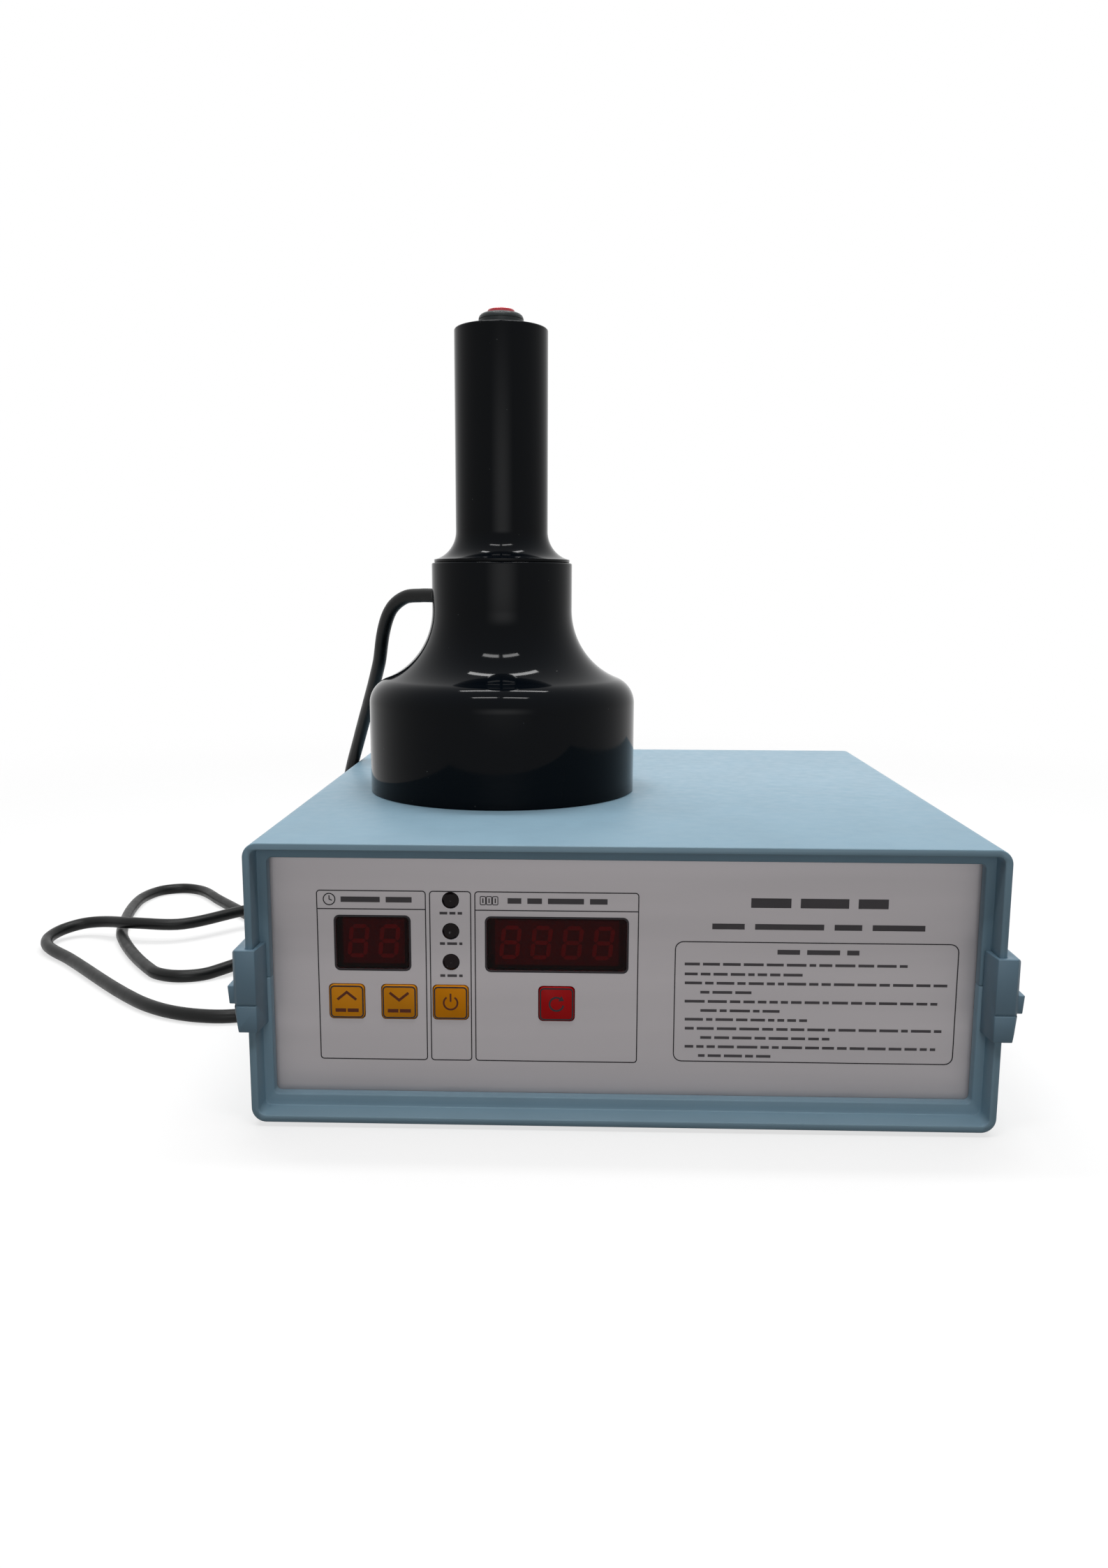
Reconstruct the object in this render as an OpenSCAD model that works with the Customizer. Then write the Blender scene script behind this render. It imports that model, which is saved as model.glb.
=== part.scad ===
// Induction cap sealer: a hand-held sealing head on a lead, parked on top of its bench-top power case.
// Millimetres. X runs to the right, Y to the back and Z up. The feet stand on z = 0, and the case is
// centred on X and Y.

/* [Case] */
// Width of the case, outside
case_w = 300; // [288:1:330]
// Depth of the case, outside
case_d = 285; // [278:1:310]
// Height of the case, outside
case_h = 116; // [112:1:128]
// Thickness of the moulded walls
case_wall = 3; // [2.6:0.1:3.4]
// Outside radius of the four long edges
edge_r = 6; // [4.5:0.5:8]
// Height of the lower shell, up to the seam
seam_h = 58; // [55:1:61]
// Width of the V groove along the seam
seam_v = 0.9; // [0.6:0.1:1.4]
// Height of the tongue that keys the two shells
tongue_h = 3; // [2:0.5:4]
// Thickness of that tongue
tongue_t = 1.4; // [1:0.1:1.6]
// Depth from the rim to the frame around each end panel
rim_depth = 10; // [8:0.5:13]
// Thickness of the panel frame, front to back
frame_t = 5; // [3:0.5:6]
// Width of the panel frame along the sides
frame_side = 4; // [3:0.5:5]
// Width of the panel frame along the top and the bottom
frame_edge = 5; // [3.5:0.5:6]
// Corner radius of the panel frame's window
frame_r = 2; // [1:0.5:4]
// Thickness of the keeper rib behind each end panel
keeper_t = 2; // [1.5:0.5:3]
// Radius of the screw pillars
pillar_r = 5; // [4.6:0.2:6]
// Distance of the pillars from the inner side walls
pillar_inset = 14; // [12:1:18]
// Distance of the pillars from the keeper ribs
pillar_back = 17; // [14:1:22]
// Height of the screw seat inside a pillar, above the floor
screw_seat_h = 30; // [20:1:40]
// Radius of a case screw's shank
screw_r = 1.75; // [1.5:0.05:2]
// Radius of a case screw's head
screw_head_r = 3.4; // [3:0.1:3.6]
// Height of a case screw's head
screw_head_h = 2.4; // [2:0.1:3]
// Length of a case screw's shank
screw_len = 42; // [38:1:48]
// Number of cooling slots in each group in the floor
vent_n = 7; // [3:1:9]
// Width of a cooling slot
vent_w = 3; // [2:0.5:4]
// Length of a cooling slot
vent_len = 44; // [30:1:60]
// Pitch of the cooling slots
vent_pitch = 7; // [6:0.5:8]
// Room around a part that drops into a moulded seat
seat_gap = 0.2; // [0.1:0.05:0.3]

/* [Feet] */
// Radius of a rubber foot
foot_r = 8; // [6:0.5:10]
// Height of a foot below the case
foot_h = 2; // [1.5:0.5:4]
// Radius of the peg that holds a foot in the floor
foot_peg_r = 3; // [2.5:0.1:3.5]
// Radius of the barb above the floor
foot_barb_r = 3.9; // [3.7:0.1:4.5]
// Height of the barb
foot_barb_h = 2; // [1.5:0.5:3]
// Distance of a foot's centre from the pillar beside it
foot_inset = 18; // [16:1:22]

/* [Side clips] */
// Height of a clip
clip_h = 34; // [30:1:38]
// Height of a clip's lower end above the case's underside
clip_base = 39; // [36:1:42]
// Gap between a clip and the wall that it straddles
clip_gap = 0.1; // [0.05:0.05:0.2]
// Thickness of a clip outside the wall
clip_out = 5; // [4:0.5:6]
// Distance that a clip stands proud of the rim
clip_proud = 2.5; // [2:0.25:3.5]
// Length of a clip along the side wall
clip_len = 24; // [18:1:26]
// Thickness of the inner leg at the rim
clip_in_rim = 1.2; // [1:0.1:1.6]
// Thickness of the inner leg at the panel frame
clip_in_frame = 2.6; // [2:0.1:3]
// Distance that the thumb block stands out from a clip
thumb_out = 2.5; // [1.5:0.25:3]
// Height of the thumb block, below the seam
thumb_h = 7.5; // [6:0.5:9]
// Inward taper of the lower end
clip_taper = 1.8; // [1:0.1:2.5]
// Width and depth of the fine groove under the thumb block
clip_groove = 0.6; // [0.4:0.1:0.8]
// Corner radius of a clip's upper end
clip_r = 1.5; // [1:0.25:2]

/* [Front panel] */
// Thickness of the panel plate
panel_t = 2; // [1.5:0.1:2.5]
// Thickness of the printed film on it
film_t = 0.5; // [0.3:0.1:0.8]
// Height of the two display windows' centre above the case's underside
window_z = 71.5; // [70:0.5:74]
// Height of the display windows
window_h = 22; // [20:0.5:23]
// Place of the time window from the panel's left end
time_x = 45.2; // [43:0.1:47]
// Width of the time window
time_w = 30; // [28:0.5:31]
// Place of the counter window from the panel's left end
count_x = 120.5; // [118:0.1:123]
// Width of the counter window
count_w = 57; // [55:0.5:60]
// Corner radius of the windows
window_r = 1.6; // [1:0.1:2]
// Width of the lip behind the panel that holds a window
window_lip = 1.5; // [1:0.1:2]
// Thickness of that lip
window_lip_t = 0.8; // [0.6:0.1:1]
// Depth of a display module
display_t = 8; // [7:0.5:10]
// Height of a display module
display_h = 19; // [17:0.5:19.5]
// Width of a digit's cell in a display module
digit_w = 12.7; // [12:0.1:13]
// Place of the level lamps from the panel's left end
lamp_x = 77.3; // [76:0.1:78]
// Height of the middle lamp above the case's underside
lamp_z = 76.8; // [75:0.1:78]
// Pitch of the lamps
lamp_pitch = 13; // [12:0.1:14]
// Radius of a lamp's lens
lamp_r = 3.3; // [2.5:0.1:3.5]
// Height of a lamp's dome above the film
lamp_dome = 0.7; // [0.5:0.1:1]

/* [Keys] */
// Side of a key cap
key_w = 14.4; // [13:0.1:15]
// Corner radius of a key cap
key_r = 2; // [1.5:0.1:3]
// Gap around a key cap
key_gap = 0.35; // [0.3:0.05:0.5]
// Height of a key cap above the film
key_proud = 0.8; // [0.7:0.1:1.2]
// Width of the lip that keeps a key behind the panel
key_lip = 1.2; // [0.8:0.1:1.6]
// Thickness of that lip
key_lip_t = 1; // [0.8:0.1:1.2]
// Travel of a key
key_travel = 0.5; // [0.3:0.1:0.6]
// Height of the keys' centre above the case's underside
key_z = 46.6; // [45:0.1:48]
// Place of the up key from the panel's left end
up_x = 34.2; // [33:0.1:35]
// Place of the down key from the panel's left end
down_x = 55.8; // [55:0.1:57]
// Place of the level key from the panel's left end
level_x = 77; // [76:0.1:78]
// Place of the reset key from the panel's left end
reset_x = 120.5; // [117:0.1:127]
// Radius of a key's stem
key_stem_r = 1.7; // [1.4:0.05:1.9]
// Side of a tact switch
tact_w = 6; // [5.5:0.1:6.5]
// Height of a tact switch
tact_h = 3.5; // [3.2:0.1:4]

/* [Boards] */
// Thickness of a circuit board
board_t = 1.6; // [1.2:0.1:2]
// Margin of the display board around what it carries
board_margin = 5; // [4.5:0.5:7]
// Radius of the posts that hold a board
post_r = 3.2; // [3:0.1:4]
// Radius of a board screw's shank
board_screw_r = 1.3; // [1.1:0.05:1.5]
// Radius of a board screw's head
board_screw_head_r = 2.7; // [2.4:0.1:3]
// Height of a board screw's head
board_screw_head_h = 1.8; // [1.5:0.1:2.2]
// Length of a board screw's shank
board_screw_len = 7; // [6:0.5:8]
// Height of the main board above the floor
main_board_h = 8; // [7:0.5:10]
// Gap between the main board and its neighbours at the front and rear
main_board_clear = 14; // [12:1:18]

/* [Power parts] */
// Number of heat sink fins
fin_n = 11; // [7:1:13]
// Thickness of a fin
fin_t = 2; // [1.5:0.1:2.5]
// Height of the fins above the heat sink's base
fin_h = 40; // [30:1:48]
// Thickness of the heat sink's base
sink_base_t = 6; // [5:0.5:8]
// Length of the heat sink
sink_len = 100; // [80:1:110]
// Height of the power semiconductors under the heat sink
chip_t = 5.2; // [4.8:0.1:6]
// Width of a power transistor
transistor_w = 16; // [14:0.5:20]
// Length of a power transistor
transistor_l = 18; // [16:0.5:20]
// Pitch of the power transistors
transistor_pitch = 22; // [21:0.5:24]
// Width of the bridge rectifier
bridge_w = 30; // [26:1:34]
// Length of the bridge rectifier
bridge_l = 20; // [18:1:24]
// Radius of a bus capacitor
can_r = 16; // [14:0.5:17]
// Height of a bus capacitor
can_h = 52; // [40:1:60]
// Radius of the choke's ring
choke_r = 18; // [15:0.5:20]
// Radius of the choke's section
choke_wire_r = 8; // [6:0.5:9]
// Width of a resonant capacitor
film_cap_w = 42; // [36:1:46]
// Depth of a resonant capacitor
film_cap_d = 22; // [18:1:25]
// Height of a resonant capacitor
film_cap_h = 34; // [28:1:40]
// Width of the supply transformer's core
core_w = 48; // [46:1:52]
// Height of the core
core_h = 40; // [36:1:46]
// Thickness of the core's stack
core_t = 24; // [20:1:28]
// Width of the core's middle leg
core_leg = 16; // [14:1:18]
// Width of the core's two windows
core_gap = 8; // [7:0.5:9]
// Number of ways in the terminal block
terminal_n = 4; // [3:1:5]
// Pitch of the ways
terminal_pitch = 10.5; // [9:0.5:11]
// Depth of the terminal block
terminal_d = 12; // [10:0.5:14]
// Height of the terminal block
terminal_h = 16; // [14:0.5:20]
// Radius of a wire entry
terminal_r = 2.5; // [2:0.1:3]

/* [Rear panel] */
// Thickness of the rear panel
rear_t = 2.5; // [2:0.1:3]
// Side of the cooling fan
fan_w = 80; // [76:1:84]
// Thickness of the cooling fan
fan_t = 25; // [22:1:26]
// Height of the fan's axis above the case's underside
fan_h = 58; // [56:1:60]
// Room between the fan and the pillar beside it
fan_side_gap = 8; // [4:1:12]
// Distance of a fan screw from the fan's edge
fan_screw_inset = 4.25; // [4:0.05:4.5]
// Radius of a fan screw's shank
fan_screw_r = 2; // [1.8:0.05:2.1]
// Length of a fan screw's shank
fan_screw_len = 14; // [12:0.5:18]
// Radius of a fan screw's head
fan_screw_head_r = 3.6; // [3.2:0.1:4]
// Height of a fan screw's head
fan_screw_head_h = 2.2; // [1.8:0.1:2.6]
// Thickness of the rim of the fan's duct
fan_rim = 1.8; // [1.6:0.1:2.4]
// Thickness of the fan's two flanges
fan_flange_t = 4; // [3:0.5:5]
// Radius of the fan rotor's hub
hub_r = 17.5; // [15:0.5:19]
// Number of fan blades
blade_n = 7; // [5:1:9]
// Pitch angle of the blades
blade_angle = 38; // [32:1:42]
// Width of a blade
blade_chord = 21; // [18:1:23]
// Thickness of a blade
blade_t = 1.6; // [1.2:0.1:2]
// Running gap around the blades
blade_gap = 0.9; // [0.6:0.1:1.2]
// Radius of the fan shaft
fan_shaft_r = 1.5; // [1.2:0.1:2]
// Running clearance around the fan shaft
shaft_gap = 0.04; // [0.02:0.01:0.08]
// Wire radius of the fan guard
guard_wire_r = 0.9; // [0.7:0.1:1.2]
// Number of rings in the fan guard
guard_ring_n = 4; // [3:1:5]
// Place of the mains inlet from the case's middle
inlet_x = -66; // [-70:1:-60]
// Height of the mains inlet above the case's underside
inlet_z = 34; // [30:1:38]
// Width of the inlet's body
inlet_w = 27.4; // [27:0.1:28]
// Height of the inlet's body
inlet_h = 19.8; // [19.4:0.1:20.2]
// Depth of the inlet's body behind the panel
inlet_depth = 22; // [20:1:26]
// Depth of the plug's cavity
inlet_cavity = 17; // [15:0.5:18]
// Width of the flange around the inlet
inlet_flange = 2.5; // [2:0.1:3]
// Height of the mains switch above the case's underside
rocker_z = 80; // [76:1:84]
// Tilt of the rocker either side of level
rocker_tilt = 9; // [7:1:10]
// Place of the fuse holder from the case's middle
fuse_x = -24; // [-28:1:-20]
// Radius of the fuse holder's barrel
fuse_r = 6; // [5.5:0.1:6.5]
// Place of the rear cable gland from the rear panel's left end
gland_x = 29; // [27:0.5:35]
// Height of the rear cable gland above the case's underside
gland_z = 24; // [22:0.5:28]
// Radius of the gland's thread
gland_r = 6; // [5.5:0.1:7]
// Distance across the gland's flats
gland_flats = 17; // [15:0.5:18]
// Length of the gland outside the panel
gland_len = 15; // [12:0.5:18]

/* [Sealing head] */
// Place of the head's axis from the case's middle, to the right
head_x = -57; // [-62:0.5:-50]
// Place of the head's axis from the case's middle, to the back
head_y = -5; // [-10:0.5:5]
// Radius of the bell's skirt
bell_r = 65.3; // [62:0.1:68]
// Height of the straight skirt
skirt_h = 43; // [38:1:48]
// Radius of the bell's rounded shoulder
shoulder_r = 13; // [11:0.5:15]
// Radius of the hollow curve up to the neck
flare_r = 36; // [32:0.5:40]
// Radius of the neck
neck_r = 34.2; // [32:0.1:36]
// Length of the straight neck
neck_len = 22.2; // [21.5:0.1:25]
// Edge radius of the skirt's foot and the neck's rim
bell_edge_r = 0.8; // [0.4:0.1:1.2]
// Wall thickness of the bell
bell_t = 5.3; // [4.5:0.1:6]
// Depth of the recess under the base plate
recess_h = 3; // [2:0.5:3.5]
// Thickness of the base plate
base_t = 4; // [3:0.5:5]
// Thickness of the lip around the base plate
base_lip = 2.3; // [2:0.1:2.6]
// Number of screws that hold the base plate
base_screw_n = 4; // [3:1:6]
// Radius of a base screw's shank
base_screw_r = 1.5; // [1.3:0.1:1.7]
// Radius of the bosses that take the base screws
base_boss_r = 3.5; // [3:0.1:4]
// Height of those bosses
base_boss_h = 14; // [12:1:20]
// Thickness of the coil former's disc
former_t = 2; // [1.5:0.1:3]
// Height of the former's walls around the winding
former_wall_h = 4.4; // [4.2:0.1:6]
// Least thickness of the former's outer wall
former_rim = 2; // [1.5:0.1:3]
// Radius of the litz wire
litz_r = 1.9; // [1.5:0.1:2]
// Gap between neighbouring turns of the coil
litz_gap = 0.3; // [0.1:0.1:0.5]
// Inner radius of the coil
coil_r = 12; // [11:0.5:13]
// Number of ferrite bars
ferrite_n = 8; // [6:1:10]
// Width of a ferrite bar
ferrite_w = 9; // [7:0.5:10]
// Height of a ferrite bar
ferrite_h = 6; // [5:0.5:8]

/* [Handle] */
// Radius of the grip
grip_r = 22.3; // [21:0.1:24]
// Length of the grip above the neck's rim
grip_len = 108.7; // [95:0.1:118]
// Radius of the flared foot
grip_foot_r = 33; // [31:0.1:33.5]
// Height of the foot's straight edge
grip_foot_edge = 1.6; // [1:0.1:2.5]
// Edge radius under the handle's foot
grip_foot_round = 0.6; // [0.3:0.1:0.9]
// Radius of the foot's hollow curve
grip_flare_r = 14; // [12:0.5:16]
// Radius of the grip's top edge
grip_edge_r = 3; // [2:0.25:4]
// Wall thickness of the grip
grip_t = 4; // [3:0.25:5]
// Thickness of the grip's top
grip_top_t = 5; // [4:0.5:6]
// Length of the spigot in the neck
spigot_h = 7; // [5:0.5:8]
// Radial clearance of the spigot
spigot_gap = 0.1; // [0.05:0.05:0.2]

/* [Trigger] */
// Radius of the bezel
bezel_r = 10.7; // [10:0.1:12]
// Height of the bezel
bezel_h = 7.5; // [7:0.1:9]
// Chamfer of the bezel
bezel_chamfer = 1; // [0.5:0.1:1.5]
// Radius of the button
button_r = 6.4; // [5.5:0.1:7]
// Gap around the button
button_gap = 0.35; // [0.3:0.05:0.5]
// Height of the button above the bezel
button_proud = 2.2; // [2:0.1:3]
// Travel of the button
button_travel = 2.5; // [1.5:0.1:3]
// Height of the button's dome
button_dome = 1.2; // [0.8:0.1:1.6]
// Radius of the switch's threaded barrel
barrel_r = 6; // [5.5:0.1:6.5]
// Length of the barrel below the bezel
barrel_h = 16; // [14:0.5:20]
// Radius of the button's stem
stem_r = 2.5; // [2:0.1:3]
// Running clearance around the stem
stem_gap = 0.05; // [0.03:0.01:0.1]

/* [Head cable] */
// Diameter of the cable
cable_d = 7; // [6:0.5:8]
// Direction of the cable out of the neck, turned back from the left
cable_turn = 25; // [15:1:35]
// Height of the bush's seat above the bell's hollow curve
bush_rise = 0.4; // [0.2:0.1:1]
// Radius of the bush in the neck
bush_r = 4.8; // [4.6:0.1:5.2]
// Radius of the bush's flange
bush_flange_r = 5.8; // [5.6:0.1:6.2]
// Thickness of the bush's flange
bush_flange_t = 1.6; // [1.2:0.1:2]
// Depth of the bush's seat in the neck
bush_seat = 1.2; // [1:0.1:1.4]
// Length of the bush outside its seat
bush_len = 5; // [4:0.5:6]

/* [Hidden] */
$fn = 64;
// Overlap of shapes that are fused within one piece
fuse = 0.4;
// Length of a cut that has to pass clean through
through = 40;

case_blue = [0.36, 0.46, 0.52];
clip_blue = [0.30, 0.40, 0.47];
film_silver = [0.56, 0.57, 0.60];
gloss_black = [0.05, 0.05, 0.06];
soft_black = [0.12, 0.12, 0.13];
steel = [0.70, 0.71, 0.73];
board_green = [0.10, 0.35, 0.20];
copper = [0.72, 0.42, 0.22];

// Case levels
case_z = foot_h;
floor_z = case_z + case_wall;
seam_z = case_z + seam_h;
case_top = case_z + case_h;
case_mid = case_z + case_h / 2;
in_w = case_w - 2 * case_wall;
in_h = case_h - 2 * case_wall;
in_r = edge_r - case_wall;

// Stations along the case's depth
front_y = -case_d / 2;
rear_y = case_d / 2;
film_y = front_y + rim_depth + frame_t;
panel_y = film_y + film_t;
panel_back_y = panel_y + panel_t;
front_keeper_y = panel_back_y + seat_gap;
rear_out_y = rear_y - rim_depth - frame_t;
rear_in_y = rear_out_y - rear_t;
rear_keeper_y = rear_in_y - seat_gap;

// Screw pillars, feet and boards
pillar_x = in_w / 2 - pillar_inset;
pillar_y = rear_keeper_y - keeper_t - pillar_back;
screw_seat_z = floor_z + screw_seat_h;
foot_x = pillar_x - foot_inset;
foot_y = pillar_y;
main_board_z = floor_z + main_board_h;
main_top_z = main_board_z + board_t;

// Display board, behind the front panel
display_y = panel_back_y + window_lip_t + seat_gap;
display_board_y = display_y + display_t;
panel_left = -in_w / 2;
time_at = panel_left + time_x;
count_at = panel_left + count_x;
lamp_at = panel_left + lamp_x;
up_at = panel_left + up_x;
down_at = panel_left + down_x;
level_at = panel_left + level_x;
reset_at = panel_left + reset_x;
key_mid = case_z + key_z;
window_mid = case_z + window_z;
lamp_mid = case_z + lamp_z;
board_left = up_at - key_w / 2 - board_margin - post_r;
board_right = count_at + count_w / 2 + board_margin + post_r;
board_low = key_mid - key_w / 2 - board_margin - post_r;
board_high = lamp_mid + lamp_pitch + lamp_r + board_margin;
tact_y = display_board_y - tact_h;
stem_end_y = display_board_y - 1;

// Main board, between the display board and the fan
fan_y = rear_in_y - fan_t;
fan_z = case_z + fan_h;
fan_x = pillar_x - pillar_r - fan_w / 2 - fan_side_gap;
main_left = -pillar_x + pillar_r + 6;
main_right = pillar_x - pillar_r - 6;
main_front = display_board_y + board_t + main_board_clear;
main_rear = fan_y - main_board_clear;
sink_base_z = main_top_z + chip_t;
sink_mid_y = main_rear - sink_len / 2;
chip_side = fan_w / 4;
part_gap = 8;
supply_x = fan_x - fan_w / 2 - core_w / 2 - part_gap;
supply_y = main_rear - core_t / 2 - 3 * part_gap;
core_yoke = (core_w - core_leg) / 2 - core_gap;
terminal_x = main_left + 6 * post_r;
terminal_y = main_rear - terminal_d - part_gap / 2;
can_y = terminal_y - part_gap - can_r;

// Fan
fan_duct_r = fan_w / 2 - fan_rim;
fan_screw_at = fan_w / 2 - fan_screw_inset;
blade_tip_r = fan_duct_r - blade_gap;
spider_t = 3.5;
spider_w = 4;
bearing_len = 16;
bearing_floor = 2;
rotor_gap = 0.8;
guard_y = rear_out_y + guard_wire_r;

// Mains parts
inlet_mid = case_z + inlet_z;
inlet_cavity_w = 24.2;
inlet_cavity_h = 16.4;
inlet_cut = 4;
pin_w = 2;
pin_h = 4;
pin_tail = 8;
pin_spread = 7;
pin_rise = 2;
rocker_mid = case_z + rocker_z;
rocker_wall = 1.2;
rocker_slot_w = 10.4;
rocker_slot_h = 18.8;
rocker_flange = 1.4;
rocker_depth = 15;
rocker_pivot = 3;
rocker_pin_r = 1.2;
switch_w = rocker_slot_w + 2 * rocker_wall;
switch_h = rocker_slot_h + 2 * rocker_wall;
fuse_depth = 30;
fuse_wall = 2.2;
fuse_flange_t = 2;
fuse_cap_h = 7;
panel_nut_t = 4;
gland_at = panel_left + gland_x;
gland_mid = case_z + gland_z;
gland_hex_len = gland_len * 0.35;

// Sealing head, standing on the case
head_z = case_top;
shoulder_c = [bell_r - shoulder_r, skirt_h];
flare_rise = sqrt(pow(flare_r + shoulder_r, 2) - pow(neck_r + flare_r - shoulder_c[0], 2));
flare_c = [neck_r + flare_r, skirt_h + flare_rise];
blend_angle = atan2(flare_rise, flare_c[0] - shoulder_c[0]);
neck_h = flare_c[1] + neck_len;
grip_h = neck_h + grip_len;
base_r = bell_r - base_lip - seat_gap;
cavity_r = bell_r - bell_t;
bore_r = neck_r - bell_t;
ledge_h = recess_h + base_t;
base_screw_at = cavity_r - 0.5;
base_head_r = base_screw_r + 1.3;
base_head_h = 1.6;
former_r = base_screw_at - base_boss_r - 1;
former_top = ledge_h + former_t + former_wall_h;
coil_pitch = 2 * litz_r + litz_gap;
coil_n = 1 + floor((former_r - former_rim - litz_r - coil_r) / coil_pitch);
coil_out_r = coil_r + (coil_n - 1) * coil_pitch + litz_r;
coil_in_r = coil_r - litz_r;
grip_bore_r = grip_r - grip_t;
grip_flare_drop = sqrt(pow(grip_flare_r, 2) - pow(grip_r + grip_flare_r - grip_foot_r, 2));
grip_flare_z = neck_h + grip_foot_edge + grip_flare_drop;
bezel_z = head_z + grip_h;
button_floor = bezel_h - button_proud - 0.6;
barrel_top = button_floor - button_travel - 0.5;
trigger_body = 14;
stem_floor = 2 - barrel_h;

// Cable outlet: a spot-faced flat on the neck carries the bush
cable_dir = [-cos(cable_turn), sin(cable_turn), 0];
cable_h = flare_c[1] + bush_flange_r + seat_gap + bush_rise;
seat_r = neck_r - bush_seat;
cable_clear = 0.3;
cable_lead = 9;
bush_tail = 3;
bush_wall = 0.8;
outlet = [head_x, head_y, head_z + cable_h] + (seat_r + bush_len) * cable_dir;
inlet_end = [gland_at, rear_out_y + gland_len, gland_mid];

// Route of the head cable, from the neck to the rear gland, in the loops that it lies in on the table
cable_route = concat(
    [outlet + cable_clear * cable_dir, outlet + cable_lead * cable_dir],
    [
        [-108.5, 19, 212], [-116.5, 24.5, 206], [-122, 32, 194.5], [-127, 43.5, 176], [-147, 87, 130],
        [-157, 106, 104], [-162, 109, 72], [-165, 105, 42], [-173, 96, 21], [-188, 80, 11],
        [-224, 41, 3.8], [-241, 34, 3.6], [-258, 42, 3.6], [-299, 104, 3.6], [-314, 148, 3.6],
        [-322, 187, 3.6], [-322, 207, 3.6], [-316, 222, 3.6], [-302, 228, 3.6], [-287, 221, 3.6],
        [-268, 197, 3.6], [-200, 112, 3.6], [-175, 70, 3.6], [-162, 28, 3.6], [-168, -6, 3.6],
        [-190, -26, 3.6], [-220, -24, 3.6], [-250, -5, 3.6], [-314, 62, 3.8], [-335, 82, 4.4],
        [-342, 96, 5.2], [-340, 110, 6.6], [-330, 119, 8.4], [-316, 118.5, 10], [-294, 110, 11.8],
        [-264, 112, 11], [-229, 145, 11.8], [-190, 176, 5.8], [-152, 190, 5.4], [-130, 185, 13],
        [-120, 168.5, 23.5]
    ],
    [inlet_end + [0, cable_lead, 0], inlet_end + [0, cable_clear, 0]]
);
cable_sides = 10;
cable_steps = 2;

// Points on an arc about c, from angle a0 to a1
function arc(c, r, a0, a1, n) = [
    for (i = [0 : n]) c + r * [cos(a0 + (a1 - a0) * i / n), sin(a0 + (a1 - a0) * i / n)]
];

// A smooth curve through four points, at t from the second to the third
function spline(p, t) =
    let (
        span = norm(p[2] - p[1]),
        from = (p[2] - p[0]) * span / (span + norm(p[1] - p[0])),
        to = (p[3] - p[1]) * span / (span + norm(p[3] - p[2]))
    )
    p[1] + from * t + (3 * (p[2] - p[1]) - 2 * from - to) * t * t
    + (from + to - 2 * (p[2] - p[1])) * t * t * t;
function route_at(r, i) =
    i < 0 ? 2 * r[0] - r[1] : i >= len(r) ? 2 * r[len(r) - 1] - r[len(r) - 2] : r[i];
function smooth_route(r, n) = concat(
    [
        for (i = [0 : len(r) - 2], k = [0 : n - 1])
            spline([for (j = [-1 : 2]) route_at(r, i + j)], k / n)
    ],
    [r[len(r) - 1]]
);
function unit(v) = v / norm(v);
function heading(r, i) = unit(route_at(r, i + 1) - route_at(r, i - 1));
function side_of(h) = unit(cross(h, abs(h[2]) > 0.9 ? [0, 1, 0] : [0, 0, 1]));

module rounded(w, h, r) {
    square([w - 2 * r, h], center = true);
    square([w, h - 2 * r], center = true);
    for (sx = [-1, 1], sy = [-1, 1])
        translate([sx * (w / 2 - r), sy * (h / 2 - r)]) circle(r);
}

module slot_2d(w, l) {
    square([w, l - w], center = true);
    for (s = [-1, 1]) translate([0, s * (l - w) / 2]) circle(w / 2);
}

// Extrudes an outline drawn in X and Z from y0 to y1
module across(y0, y1) {
    translate([0, y1, 0]) rotate([90, 0, 0]) linear_extrude(y1 - y0) children();
}

// A round rod along Y
module rod_y(y0, y1, r) {
    translate([0, y0, 0]) rotate([-90, 0, 0]) cylinder(h = y1 - y0, r = r);
}

module at_corners(x, y) {
    for (sx = [-1, 1], sy = [-1, 1]) translate([sx * x, sy * y, 0]) children();
}

// The case's section, and what the two shells share
module below_seam_2d() {
    translate([-case_w, case_z - 1]) square([2 * case_w, seam_h + 1]);
}

module above_seam_2d() {
    translate([-case_w, seam_z]) square([2 * case_w, case_h]);
}

module tunnel_2d() {
    difference() {
        translate([0, case_mid]) rounded(case_w, case_h, edge_r);
        translate([0, case_mid]) rounded(in_w, in_h, in_r);
        for (s = [-1, 1]) translate([s * case_w / 2, seam_z]) rotate(45) square(seam_v, center = true);
    }
}

module tongue_2d(gap) {
    for (s = [-1, 1])
        translate([s * (in_w / 2 + tongue_t / 2), seam_z + tongue_h / 2 - fuse / 2])
            square([tongue_t + 2 * gap, tongue_h + fuse + 2 * gap], center = true);
}

module frame_2d() {
    translate([0, case_mid]) difference() {
        rounded(case_w - case_wall, case_h - case_wall, edge_r - case_wall / 2);
        rounded(in_w - 2 * frame_side, in_h - 2 * frame_edge, frame_r);
    }
}

// Panel frames and keeper ribs at both ends, cut to the outline given
module end_frames() {
    spans = [
        [front_y + rim_depth, film_y],
        [front_keeper_y, front_keeper_y + keeper_t],
        [rear_out_y, rear_y - rim_depth],
        [rear_keeper_y - keeper_t, rear_keeper_y]
    ];
    for (s = spans) across(s[0], s[1]) intersection() {
        frame_2d();
        children();
    }
}

module board_posts_at() {
    inset = 2 * post_r;
    for (x = [main_left + inset, main_right - inset], y = [main_front + inset, main_rear - inset])
        translate([x, y, 0]) children();
}

module vents() {
    for (sx = [-1, 1], i = [0 : vent_n - 1])
        translate([sx * case_w / 5 + (i - (vent_n - 1) / 2) * vent_pitch, -case_d / 6, case_z - 1])
            linear_extrude(case_wall + 2) slot_2d(vent_w, vent_len);
}

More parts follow.
